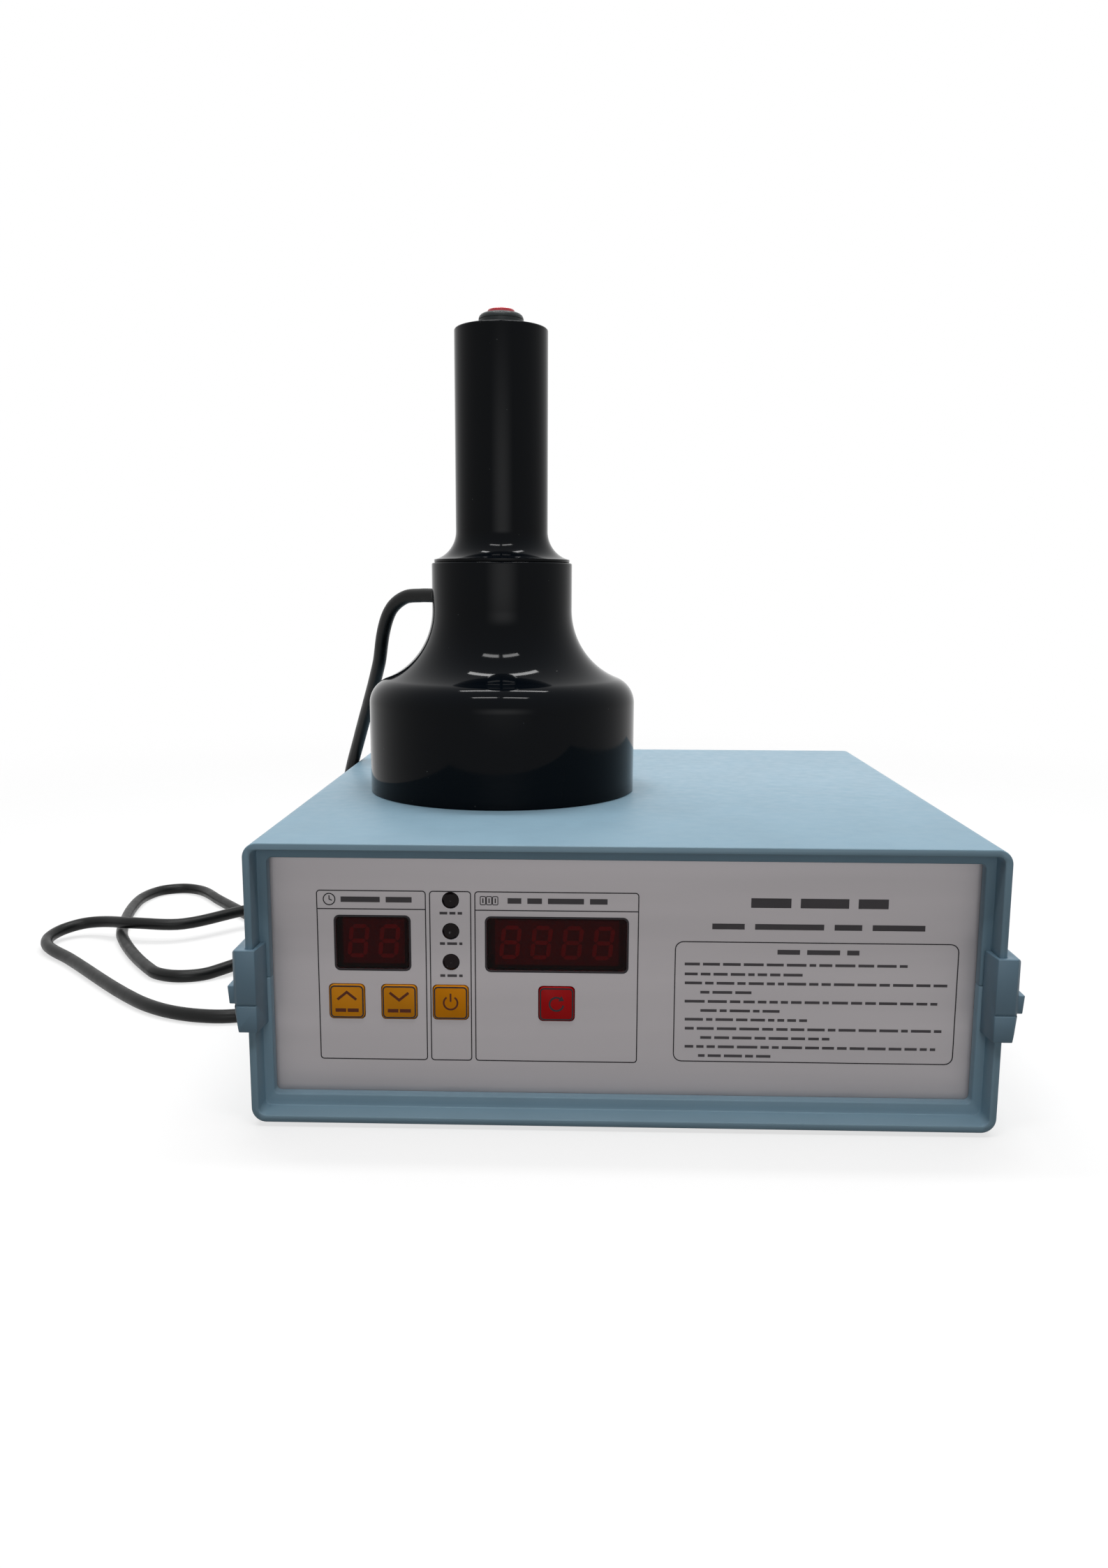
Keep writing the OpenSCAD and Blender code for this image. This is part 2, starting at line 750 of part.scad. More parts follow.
module bottom_shell() {
    color(case_blue) difference() {
        union() {
            across(front_y, rear_y) intersection() {
                tunnel_2d();
                below_seam_2d();
            }
            across(front_y, rear_y) tongue_2d(0);
            end_frames() below_seam_2d();
            at_corners(pillar_x, pillar_y) translate([0, 0, floor_z - fuse])
                cylinder(h = seam_z - floor_z + fuse, r = pillar_r);
            board_posts_at() translate([0, 0, floor_z - fuse]) cylinder(h = main_board_h + fuse, r = post_r);
        }
        at_corners(pillar_x, pillar_y) {
            translate([0, 0, case_z - 1])
                cylinder(h = screw_seat_z - case_z + 1, r = screw_head_r + seat_gap);
            translate([0, 0, screw_seat_z - 1]) cylinder(h = through, r = screw_r + seat_gap);
        }
        at_corners(foot_x, foot_y) translate([0, 0, case_z - 1]) 
            cylinder(h = case_wall + 2, r = foot_peg_r + stem_gap);
        board_posts_at() translate([0, 0, main_board_z - board_screw_len])
            cylinder(h = board_screw_len + 1, r = board_screw_r + stem_gap);
        vents();
    }
}

module top_shell() {
    color(case_blue) difference() {
        union() {
            across(front_y, rear_y) intersection() {
                tunnel_2d();
                above_seam_2d();
            }
            end_frames() above_seam_2d();
            at_corners(pillar_x, pillar_y) translate([0, 0, seam_z])
                cylinder(h = case_top - case_wall - seam_z + fuse, r = pillar_r);
        }
        across(front_y - 1, rear_y + 1) tongue_2d(0.1);
        at_corners(pillar_x, pillar_y) translate([0, 0, seam_z - 1])
            cylinder(h = screw_seat_z + screw_len - seam_z + 3, r = screw_r + stem_gap);
    }
}

module case_screws() {
    color(steel) at_corners(pillar_x, pillar_y) translate([0, 0, screw_seat_z]) {
        translate([0, 0, -screw_head_h]) cylinder(h = screw_head_h, r = screw_head_r);
        translate([0, 0, -fuse]) cylinder(h = screw_len + fuse, r = screw_r);
    }
}

module rubber_feet() {
    color(soft_black) at_corners(foot_x, foot_y) rotate_extrude() polygon([
        [0, 0], [foot_r - 1, 0], [foot_r, case_z], [foot_peg_r, case_z], [foot_peg_r, floor_z],
        [foot_barb_r, floor_z], [foot_peg_r - 0.5, floor_z + foot_barb_h], [0, floor_z + foot_barb_h]
    ]);
}

// A clip that straddles the rim of a side wall: x runs out from the wall, y in from the rim
module clip_plan_2d() {
    inner = -case_wall - clip_gap;
    polygon([
        [clip_out, clip_r - clip_proud], [clip_out, clip_len], [clip_gap, clip_len], [clip_gap, -clip_gap],
        [inner, -clip_gap], [inner, rim_depth - seat_gap], [inner - clip_in_frame, rim_depth - seat_gap],
        [inner - clip_in_rim, -clip_proud], [clip_out - clip_r, -clip_proud]
    ]);
}

module clip_front_2d() {
    low = case_z + clip_base;
    high = low + clip_h;
    thumb_low = seam_z - thumb_h;
    inside = -2 * case_wall - 2 * clip_in_frame;
    polygon(concat(
        [[inside, low], [clip_out - clip_taper, low], [clip_out, thumb_low]],
        arc([clip_out - clip_r, high - clip_r], clip_r, 0, 90, 6),
        [[inside, high]]
    ));
}

module clip() {
    thumb_low = seam_z - thumb_h;
    color(clip_blue) difference() {
        union() {
            intersection() {
                linear_extrude(case_top) clip_plan_2d();
                across(-case_d, case_d) clip_front_2d();
            }
            across(clip_r - clip_proud, clip_len - 1) polygon([
                [clip_out - fuse, thumb_low], [clip_out + thumb_out - 0.6, thumb_low],
                [clip_out + thumb_out, seam_z], [clip_out - fuse, seam_z]
            ]);
        }
        translate([clip_out - clip_groove, -case_d, thumb_low - clip_groove])
            cube([through, 2 * case_d, clip_groove]);
        translate([-through, -clip_proud - 1, thumb_low - clip_groove])
            cube([2 * through, 1 + clip_groove, clip_groove]);
    }
}

module clip_at(sx, sy) {
    mirror([sx < 0 ? 1 : 0, 0, 0]) mirror([0, sy > 0 ? 1 : 0, 0]) translate([case_w / 2, front_y, 0]) clip();
}

module front_left_clip() { clip_at(-1, -1); }
module front_right_clip() { clip_at(1, -1); }
module rear_left_clip() { clip_at(-1, 1); }
module rear_right_clip() { clip_at(1, 1); }

// Front panel
module key_places() {
    for (x = [up_at, down_at, level_at, reset_at]) translate([x, key_mid]) children();
}

module lamp_places() {
    for (i = [-1 : 1]) translate([lamp_at, lamp_mid + i * lamp_pitch]) children();
}

module panel_2d(margin) {
    difference() {
        translate([0, case_mid]) rounded(in_w - 2 * margin, in_h - 2 * margin, in_r);
        translate([time_at, window_mid]) rounded(time_w, window_h, window_r);
        translate([count_at, window_mid]) rounded(count_w, window_h, window_r);
        lamp_places() circle(lamp_r + seat_gap);
        key_places() rounded(key_w + 2 * key_gap, key_w + 2 * key_gap, key_r);
    }
}

module display_posts_at() {
    for (x = [board_left + post_r, board_right - post_r], z = [board_low + post_r, board_high - post_r])
        translate([x, 0, z]) children();
}

module front_panel() {
    color(film_silver) difference() {
        union() {
            across(panel_y, panel_back_y) panel_2d(seat_gap);
            display_posts_at() rod_y(panel_back_y - fuse, display_board_y, post_r);
        }
        display_posts_at()
            rod_y(display_board_y - board_screw_len + board_t, display_board_y + 1, board_screw_r + stem_gap);
    }
}

module panel_film() {
    color(film_silver) across(film_y, panel_y) panel_2d(1);
}

module window(x, w) {
    color([0.16, 0.02, 0.03]) translate([x, 0, window_mid]) {
        across(film_y + 0.1, panel_back_y + fuse) rounded(w - 0.2, window_h - 0.2, window_r);
        across(panel_back_y, panel_back_y + window_lip_t)
            rounded(w + 2 * window_lip, window_h + 2 * window_lip, window_r);
    }
}

module time_window() { window(time_at, time_w); }
module count_window() { window(count_at, count_w); }

module level_lamps() {
    body = display_board_y - film_y;
    color([0.14, 0.05, 0.07]) for (i = [-1 : 1])
        translate([lamp_at, display_board_y, lamp_mid + i * lamp_pitch]) rotate([90, 0, 0])
            rotate_extrude() polygon([
                [0, 0], [lamp_r, 0], [lamp_r, body],
                [lamp_r * 0.8, body + lamp_dome * 0.7], [0, body + lamp_dome]
            ]);
}

// A key: cap, keeping lip behind the panel, and a stem that runs in its tact switch
module key(x, tint) {
    color(tint) translate([x, 0, key_mid]) {
        across(film_y - key_proud, panel_back_y + key_lip_t) rounded(key_w, key_w, key_r);
        across(panel_back_y + 0.1, panel_back_y + 0.1 + key_lip_t)
            rounded(key_w + 2 * key_lip, key_w + 2 * key_lip, key_r);
        rod_y(panel_back_y, stem_end_y - key_travel - 0.3, key_stem_r);
    }
}

module key_up() { key(up_at, [0.85, 0.62, 0.08]); }
module key_down() { key(down_at, [0.85, 0.62, 0.08]); }
module key_level() { key(level_at, [0.95, 0.55, 0.02]); }
module key_reset() { key(reset_at, [0.82, 0.06, 0.07]); }

module display_board() {
    color(board_green) difference() {
        across(display_board_y, display_board_y + board_t)
            translate([board_left, board_low]) square([board_right - board_left, board_high - board_low]);
        display_posts_at()
            rod_y(display_board_y - 1, display_board_y + board_t + 1, board_screw_r + seat_gap);
    }
}

module display_screws() {
    back = display_board_y + board_t;
    color(steel) display_posts_at() {
        rod_y(back - board_screw_len + 1, back + fuse, board_screw_r);
        rod_y(back, back + board_screw_head_h, board_screw_head_r);
    }
}

module digits(x, n) {
    color([0.2, 0.2, 0.22]) across(display_y, display_board_y) translate([x, window_mid])
        square([n * digit_w, display_h], center = true);
}

module time_display() { digits(time_at, 2); }
module count_display() { digits(count_at, 4); }

module tact_switches() {
    color(soft_black) difference() {
        across(tact_y, display_board_y) key_places() square(tact_w, center = true);
        for (x = [up_at, down_at, level_at, reset_at]) translate([x, 0, key_mid])
            rod_y(tact_y - 1, stem_end_y, key_stem_r + stem_gap);
    }
}

// Main board and what stands on it
module main_board() {
    color(board_green) difference() {
        translate([main_left, main_front, main_board_z])
            cube([main_right - main_left, main_rear - main_front, board_t]);
        board_posts_at() translate([0, 0, main_board_z - 1])
            cylinder(h = board_t + 2, r = board_screw_r + seat_gap);
    }
}

module board_screws() {
    color(steel) board_posts_at() {
        translate([0, 0, main_top_z - board_screw_len + 1]) cylinder(h = board_screw_len, r = board_screw_r);
        translate([0, 0, main_top_z]) cylinder(h = board_screw_head_h, r = board_screw_head_r);
    }
}

module heat_sink() {
    pitch = (fan_w - fin_t) / (fin_n - 1);
    near = sink_mid_y - sink_len / 2;
    color(steel) translate([fan_x, 0, sink_base_z]) across(near, near + sink_len) {
        translate([-fan_w / 2, 0]) square([fan_w, sink_base_t]);
        for (i = [0 : fin_n - 1])
            translate([i * pitch - fan_w / 2, 0]) square([fin_t, sink_base_t + fin_h]);
    }
}

module chip(x, y, w, l) {
    translate([fan_x + x - w / 2, sink_mid_y + y - l / 2, main_top_z]) cube([w, l, chip_t]);
}

module power_transistors() {
    color(soft_black) for (i = [-1.5 : 1.5])
        chip(chip_side, i * transistor_pitch, transistor_w, transistor_l);
}

module bridge_rectifier() {
    color(soft_black) chip(-chip_side, chip_side, bridge_w, bridge_l);
}

module bus_capacitors() {
    edge = 2;
    color([0.15, 0.18, 0.3]) for (i = [0, 1])
        translate([main_left + part_gap / 2 + can_r + i * (2 * can_r + edge), can_y, main_top_z])
            rotate_extrude() polygon(concat(
                [[0, 0], [can_r, 0]], arc([can_r - edge, can_h - edge], edge, 0, 90, 4), [[0, can_h]]
            ));
}

module resonant_capacitors() {
    first_y = main_front + 2 * part_gap + film_cap_d / 2;
    color([0.75, 0.65, 0.2]) for (i = [0, 1])
        translate([main_left + part_gap + film_cap_w / 2, first_y + i * (film_cap_d + part_gap), main_top_z])
            linear_extrude(film_cap_h) rounded(film_cap_w, film_cap_d, 2);
}

module choke() {
    out_r = choke_r + choke_wire_r;
    color(copper) translate([0, main_front + 2 * part_gap + out_r, main_top_z + choke_wire_r])
        rotate_extrude() translate([choke_r, 0]) circle(choke_wire_r);
}

module supply_at() {
    translate([supply_x, supply_y, main_top_z]) children();
}

module supply_core() {
    window_x = (core_leg + core_gap) / 2;
    color([0.35, 0.35, 0.37]) supply_at() across(-core_t / 2, core_t / 2) difference() {
        translate([-core_w / 2, 0]) square([core_w, core_h]);
        for (s = [-1, 1]) translate([s * window_x, core_h / 2])
            square([core_gap, core_h - 2 * core_yoke], center = true);
    }
}

module supply_winding() {
    depth = core_t + 2 * core_gap;
    width = core_leg + 2 * core_gap - 1;
    color([0.8, 0.7, 0.4]) supply_at() translate([0, 0, core_yoke + seat_gap])
        linear_extrude(core_h - 2 * core_yoke - 2 * seat_gap) difference() {
            rounded(width, depth, 3);
            square([core_leg + 2 * seat_gap, core_t + 2 * seat_gap], center = true);
        }
}

module terminal_block() {
    color([0.2, 0.4, 0.25]) difference() {
        translate([terminal_x, terminal_y, main_top_z])
            cube([terminal_n * terminal_pitch + 2, terminal_d, terminal_h]);
        for (i = [0 : terminal_n - 1])
            translate([terminal_x + 1 + (i + 0.5) * terminal_pitch, 0, main_top_z + terminal_h * 0.4])
                rod_y(terminal_y + terminal_d / 3, main_rear, terminal_r);
    }
}

// Rear panel and what is mounted in it
module fan_holes_at() {
    for (sx = [-1, 1], sz = [-1, 1])
        translate([fan_x + sx * fan_screw_at, 0, fan_z + sz * fan_screw_at]) children();
}

module rear_panel() {
    color(film_silver) difference() {
        across(rear_in_y, rear_out_y) difference() {
            translate([0, case_mid]) rounded(in_w - 2 * seat_gap, in_h - 2 * seat_gap, in_r);
            translate([fan_x, fan_z]) circle(fan_duct_r - 0.5);
            translate([inlet_x, inlet_mid])
                square([inlet_w + 2 * seat_gap, inlet_h + 2 * seat_gap], center = true);
            translate([inlet_x, rocker_mid])
                square([switch_w + 2 * seat_gap, switch_h + 2 * seat_gap], center = true);
            translate([fuse_x, inlet_mid]) circle(fuse_r + seat_gap);
            translate([gland_at, gland_mid]) circle(gland_r + seat_gap);
        }
        fan_holes_at() rod_y(rear_in_y - 1, rear_out_y + 1, fan_screw_r + seat_gap);
    }
}

module fan_frame() {
    color(soft_black) difference() {
        translate([fan_x, 0, fan_z]) {
            for (y = [fan_y, rear_in_y - fan_flange_t]) across(y, y + fan_flange_t) difference() {
                rounded(fan_w, fan_w, 5);
                circle(fan_duct_r);
            }
            across(fan_y + fuse, rear_in_y - fuse) difference() {
                circle(fan_w / 2 - 0.3);
                circle(fan_duct_r);
            }
            difference() {
                union() {
                    rod_y(rear_in_y - spider_t, rear_in_y, hub_r);
                    rod_y(rear_in_y - bearing_len, rear_in_y - fuse, 3 * fan_shaft_r);
                    for (a = [45 : 90 : 315]) rotate([0, a, 0])
                        translate([hub_r - 2, rear_in_y - spider_t, -spider_w / 2])
                            cube([fan_duct_r - hub_r + 3, spider_t, spider_w]);
                }
                rod_y(rear_in_y - bearing_len - 1, rear_in_y - bearing_floor, fan_shaft_r + shaft_gap);
            }
        }
        fan_holes_at() rod_y(fan_y - 1, rear_in_y + 1, fan_screw_r + shaft_gap);
    }
}

module fan_blade() {
    intersection() {
        translate([blade_tip_r / 2, 0, 0]) rotate([blade_angle, 0, 0])
            cube([2 * blade_tip_r, blade_chord, blade_t], center = true);
        difference() {
            cylinder(h = fan_t, r = blade_tip_r, center = true);
            cylinder(h = fan_t + 1, r = hub_r - 0.5, center = true);
            translate([-2 * fan_w, -fan_w, -fan_w]) cube([2 * fan_w, 2 * fan_w, 2 * fan_w]);
        }
    }
}

module fan_rotor() {
    near = fan_y + 1.5;
    far = rear_in_y - spider_t - rotor_gap;
    color([0.18, 0.18, 0.19]) translate([fan_x, 0, fan_z]) {
        difference() {
            rod_y(near, far, hub_r);
            rod_y(near + 3, far + 1, hub_r - 2);
        }
        rod_y(near + 1, rear_in_y - 2 * bearing_floor, fan_shaft_r);
        for (i = [0 : blade_n - 1]) rotate([0, i * 360 / blade_n, 0]) translate([0, (near + far) / 2, 0])
            rotate([90, 0, 0]) fan_blade();
    }
}

module fan_guard() {
    lug_r = 2 * fan_screw_r;
    reach = fan_screw_at * sqrt(2);
    ring_gap = (fan_duct_r - 4) / guard_ring_n;
    color(steel) difference() {
        union() {
            fan_holes_at() rod_y(rear_out_y, rear_out_y + 2 * guard_wire_r, lug_r);
            translate([fan_x, 0, fan_z]) {
                for (a = [45, 135]) rotate([0, a, 0]) translate([-reach, rear_out_y, -guard_wire_r])
                    cube([2 * reach, 2 * guard_wire_r, 2 * guard_wire_r]);
                for (i = [1 : guard_ring_n])
                    translate([0, guard_y + guard_wire_r * 1.3, 0]) rotate([90, 0, 0])
                        rotate_extrude() translate([i * ring_gap, 0]) circle(guard_wire_r, $fn = 24);
            }
        }
        fan_holes_at() rod_y(rear_out_y - 1, rear_out_y + through, fan_screw_r + seat_gap);
    }
}

module fan_screws() {
    seat = rear_out_y + 2 * guard_wire_r;
    color(steel) fan_holes_at() {
        rod_y(seat - fan_screw_len, seat + fuse, fan_screw_r);
        rod_y(seat, seat + fan_screw_head_h, fan_screw_head_r);
    }
}

module inlet_pins_at() {
    for (p = [[0, 1], [-1, -1], [1, -1]])
        translate([inlet_x + p[0] * pin_spread, inlet_mid + p[1] * pin_rise]) children();
}

module mains_inlet() {
    mouth = rear_out_y + 2;
    half_w = inlet_cavity_w / 2;
    half_h = inlet_cavity_h / 2;
    color(soft_black) difference() {
        union() {
            across(rear_out_y, mouth) translate([inlet_x, inlet_mid])
                rounded(inlet_w + 2 * inlet_flange, inlet_h + 2 * inlet_flange, 2);
            across(rear_out_y - inlet_depth, rear_out_y + fuse) translate([inlet_x, inlet_mid])
                square([inlet_w, inlet_h], center = true);
        }
        across(mouth - inlet_cavity, mouth + 1) translate([inlet_x, inlet_mid]) polygon([
            [-half_w, -half_h], [half_w, -half_h], [half_w, half_h - inlet_cut], [half_w - inlet_cut, half_h],
            [inlet_cut - half_w, half_h], [-half_w, half_h - inlet_cut]
        ]);
        across(rear_out_y - inlet_depth - 1, mouth) inlet_pins_at()
            square([pin_w + 2 * stem_gap, pin_h + 2 * stem_gap], center = true);
    }
}

module inlet_pins() {
    color(steel) across(rear_out_y - inlet_depth - pin_tail, rear_out_y - 1) inlet_pins_at()
        square([pin_w, pin_h], center = true);
}

// Mains switch: a rocker on a cross pin, above the inlet
module switch_at() {
    translate([inlet_x, rear_out_y + rocker_flange, rocker_mid]) children();
}

module switch_frame() {
    color(soft_black) switch_at() difference() {
        union() {
            across(-rocker_flange, 0) rounded(switch_w + 3, switch_h + 3, 1.5);
            across(-rocker_depth, -fuse) square([switch_w, switch_h], center = true);
        }
        across(2 - rocker_depth, 1) square([rocker_slot_w, rocker_slot_h], center = true);
        translate([0, -rocker_pivot, 0]) rotate([0, 90, 0])
            cylinder(h = switch_w + 2, r = rocker_pin_r + stem_gap, center = true);
    }
}

module mains_rocker() {
    half = rocker_slot_h / 2 - 1.2;
    color([0.1, 0.1, 0.11]) switch_at() translate([0, -rocker_pivot, 0]) rotate([rocker_tilt, 0, 0]) {
        translate([-rocker_slot_w / 2 + 0.3, 0, 0]) rotate([90, 0, 90]) linear_extrude(rocker_slot_w - 0.6)
            polygon([
                [rocker_pivot + 2, -half], [rocker_pivot + 0.8, 0], [rocker_pivot + 2, half],
                [-1, half - 1], [-4, 2.5], [-4, -2.5], [-1, 1 - half]
            ]);
        rotate([0, 90, 0]) cylinder(h = switch_w - 0.2, r = rocker_pin_r, center = true);
    }
}

module fuse_at() {
    translate([fuse_x, 0, inlet_mid]) children();
}

module fuse_holder() {
    floor_y = rear_out_y - fuse_depth + 2;
    color(soft_black) fuse_at() difference() {
        union() {
            rod_y(rear_out_y - fuse_depth, rear_out_y + fuse, fuse_r);
            rod_y(rear_out_y, rear_out_y + fuse_flange_t, fuse_r + 2.5);
        }
        rod_y(floor_y, rear_out_y + through, fuse_r - fuse_wall);
    }
}

// A hexagon nut against the inside of the rear panel
module panel_nut(bore, flats) {
    difference() {
        translate([0, rear_in_y - panel_nut_t, 0]) rotate([-90, 0, 0])
            cylinder(h = panel_nut_t, r = flats / 2 / cos(30), $fn = 6);
        rod_y(rear_in_y - panel_nut_t - 1, rear_in_y + 1, bore + stem_gap);
    }
}

module fuse_nut() {
    color(soft_black) fuse_at() panel_nut(fuse_r, 2 * fuse_r + 4.5);
}

module fuse_cap() {
    seat = rear_out_y + fuse_flange_t;
    slot_w = 1.6;
    color(soft_black) fuse_at() difference() {
        union() {
            rod_y(seat, seat + fuse_cap_h, fuse_r + 1);
            rod_y(rear_out_y - fuse_depth + 6, seat + fuse, fuse_r - fuse_wall - stem_gap);
        }
        translate([-fuse_r - 2, seat + fuse_cap_h - slot_w, -slot_w / 2])
            cube([2 * fuse_r + 4, 2 * slot_w, slot_w]);
    }
}

module rear_gland() {
    mouth_r = cable_d / 2 + 1;
    dome_r = gland_flats / 2 - 0.4 - mouth_r;
    dome_len = gland_len - gland_hex_len + fuse;
    color(soft_black) translate([gland_at, 0, gland_mid]) {
        rod_y(rear_in_y - 2 * panel_nut_t, rear_out_y + fuse, gland_r);
        translate([0, rear_out_y, 0]) rotate([-90, 0, 0])
            cylinder(h = gland_hex_len, r = gland_flats / 2 / cos(30), $fn = 6);
        translate([0, rear_out_y + gland_hex_len - fuse, 0]) rotate([-90, 0, 0]) rotate_extrude()
            polygon(concat(
                [[0, 0], [mouth_r + dome_r, 0]],
                arc([mouth_r, dome_len - dome_r - 1], dome_r, 0, 90, 8),
                [[mouth_r, dome_len], [0, dome_len]]
            ));
    }
}

module gland_nut() {
    color(soft_black) translate([gland_at, 0, gland_mid]) panel_nut(gland_r, gland_flats);
}

// Sealing head: a turned bell with the coil in its base
module at_head() {
    translate([head_x, head_y, head_z]) children();
}

function bell_curve(t) = concat(
    arc(shoulder_c, shoulder_r - t, 0, blend_angle, 10),
    arc(flare_c, flare_r + t, 180 + blend_angle, 180, 14)
);

module bell_2d() {
    inner = bell_curve(bell_t);
    polygon(concat(
        [[base_r + seat_gap, 0]],
        arc([bell_r - bell_edge_r, bell_edge_r], bell_edge_r, -90, 0, 4),
        bell_curve(0),
        arc([neck_r - bell_edge_r, neck_h - bell_edge_r], bell_edge_r, 0, 90, 4),
        [[bore_r, neck_h]],
        [for (i = [len(inner) - 1 : -1 : 0]) inner[i]],
        [[cavity_r, ledge_h], [base_r + seat_gap, ledge_h]]
    ));
}

module cable_axis() {
    translate([0, 0, cable_h]) rotate([0, 0, 180 - cable_turn]) rotate([0, 90, 0]) children();
}

module base_screws_at() {
    for (i = [0 : base_screw_n - 1]) rotate([0, 0, 45 + i * 360 / base_screw_n])
        translate([base_screw_at, 0, 0]) children();
}

module head_bell() {
    color(gloss_black) at_head() difference() {
        union() {
            rotate_extrude($fn = 96) bell_2d();
            base_screws_at() translate([0, 0, ledge_h + seat_gap])
                cylinder(h = base_boss_h, r = base_boss_r);
        }
        cable_axis() {
            cylinder(h = neck_r + through, r = bush_r + stem_gap);
            translate([0, 0, seat_r]) cylinder(h = through, r = bush_flange_r + seat_gap);
        }
        base_screws_at() translate([0, 0, ledge_h - 1])
            cylinder(h = base_boss_h - 1, r = base_screw_r + stem_gap);
    }
}

module base_plate() {
    color(soft_black) at_head() difference() {
        translate([0, 0, recess_h]) cylinder(h = base_t, r = base_r, $fn = 96);
        base_screws_at() translate([0, 0, recess_h - 1]) {
            cylinder(h = base_t + 2, r = base_screw_r + seat_gap);
            cylinder(h = 1 + base_head_h, r = base_head_r + seat_gap);
        }
    }
}

module base_screws() {
    color(steel) at_head() base_screws_at() translate([0, 0, recess_h]) {
        cylinder(h = base_head_h, r = base_head_r);
        cylinder(h = base_t + base_boss_h - 5, r = base_screw_r);
    }
}

module coil_former() {
    wall_top = former_t + former_wall_h;
    color([0.8, 0.78, 0.7]) at_head() translate([0, 0, ledge_h]) rotate_extrude($fn = 96) polygon([
        [0, 0], [former_r, 0], [former_r, wall_top], [coil_out_r + litz_gap, wall_top],
        [coil_out_r + litz_gap, former_t], [coil_in_r - litz_gap, former_t],
        [coil_in_r - litz_gap, wall_top], [0, wall_top]
    ]);
}

module induction_coil() {
    color(copper) at_head() translate([0, 0, ledge_h + former_t]) rotate_extrude($fn = 96) {
        for (i = [0 : coil_n - 1]) translate([coil_r + i * coil_pitch, litz_r]) circle(litz_r, $fn = 24);
        translate([coil_r, 0]) square([(coil_n - 1) * coil_pitch, litz_r]);
    }
}

module ferrite_bars() {
    near = ferrite_w / 2 / tan(180 / ferrite_n) + 0.4;
    color([0.22, 0.22, 0.24]) at_head() for (i = [0 : ferrite_n - 1]) rotate([0, 0, i * 360 / ferrite_n])
        translate([near, -ferrite_w / 2, former_top]) cube([former_r - near - 0.5, ferrite_w, ferrite_h]);
}

module head_handle() {
    foot_angle = acos((grip_r + grip_flare_r - grip_foot_r) / grip_flare_r);
    color(gloss_black) at_head() difference() {
        rotate_extrude($fn = 96) polygon(concat(
            [[grip_bore_r, neck_h - spigot_h], [bore_r - spigot_gap, neck_h - spigot_h]],
            [[bore_r - spigot_gap, neck_h]],
            arc([grip_foot_r - grip_foot_round, neck_h + grip_foot_round], grip_foot_round, -90, 0, 4),
            arc([grip_r + grip_flare_r, grip_flare_z], grip_flare_r, 180 + foot_angle, 180, 10),
            arc([grip_r - grip_edge_r, grip_h - grip_edge_r], grip_edge_r, 0, 90, 6),
            [[0, grip_h], [0, grip_h - grip_top_t], [grip_bore_r, grip_h - grip_top_t]]
        ));
        translate([0, 0, grip_h - grip_top_t - 1]) cylinder(h = grip_top_t + 2, r = barrel_r + seat_gap);
    }
}

// Trigger: a push button in a bezel on top of the handle
module at_trigger() {
    translate([head_x, head_y, bezel_z]) children();
}

module trigger_bezel() {
    color([0.22, 0.25, 0.26]) at_trigger() rotate_extrude() polygon([
        [barrel_r + stem_gap, 0], [bezel_r, 0], [bezel_r, bezel_h - bezel_chamfer],
        [bezel_r - bezel_chamfer, bezel_h], [button_r + button_gap, bezel_h],
        [button_r + button_gap, barrel_top], [barrel_r + stem_gap, barrel_top]
    ]);
}

module trigger_switch() {
    color(soft_black) at_trigger() difference() {
        union() {
            translate([0, 0, -barrel_h]) cylinder(h = barrel_h + barrel_top, r = barrel_r);
            translate([0, 0, -barrel_h - trigger_body / 2 + fuse]) cube(trigger_body, center = true);
        }
        translate([0, 0, stem_floor]) cylinder(h = through, r = stem_r + stem_gap);
    }
}

module trigger_nut() {
    nut_t = 3;
    color(steel) at_trigger() translate([0, 0, -grip_top_t - nut_t]) difference() {
        cylinder(h = nut_t, r = barrel_r + 2.6, $fn = 6);
        translate([0, 0, -1]) cylinder(h = nut_t + 2, r = barrel_r + stem_gap);
    }
}

module trigger_button() {
    top = bezel_h + button_proud;
    stem_end = stem_floor + button_travel + 0.5;
    dome_r = (pow(button_r, 2) + pow(button_dome, 2)) / (2 * button_dome);
    color([0.72, 0.2, 0.24]) at_trigger() rotate_extrude() polygon(concat(
        [[0, stem_end], [stem_r, stem_end], [stem_r, button_floor], [button_r, button_floor]],
        arc([0, top - dome_r], dome_r, acos(button_r / dome_r), 90, 8)
    ));
}

// Head cable
module neck_bush() {
    color(soft_black) at_head() cable_axis() rotate_extrude() polygon([
        [0, bore_r - bush_tail], [bush_r, bore_r - bush_tail], [bush_r, seat_r], [bush_flange_r, seat_r],
        [bush_flange_r, seat_r + bush_flange_t], [cable_d / 2 + bush_wall, seat_r + bush_len],
        [0, seat_r + bush_len]
    ]);
}

module head_cable() {
    path = smooth_route(cable_route, cable_steps);
    last = len(path) - 1;
    rings = [
        for (i = [0 : last], k = [0 : cable_sides - 1])
            let (h = heading(path, i), s = side_of(h), u = cross(s, h), a = 360 * k / cable_sides)
                path[i] + cable_d / 2 * (cos(a) * s + sin(a) * u)
    ];
    walls = [
        for (i = [0 : last - 1], k = [0 : cable_sides - 1])
            let (a = i * cable_sides + k, b = i * cable_sides + (k + 1) % cable_sides)
                [a, a + cable_sides, b + cable_sides, b]
    ];
    near_cap = [for (k = [0 : cable_sides - 1]) k];
    far_cap = [for (k = [cable_sides - 1 : -1 : 0]) last * cable_sides + k];
    color(soft_black) polyhedron(rings, concat(walls, [near_cap, far_cap]));
}

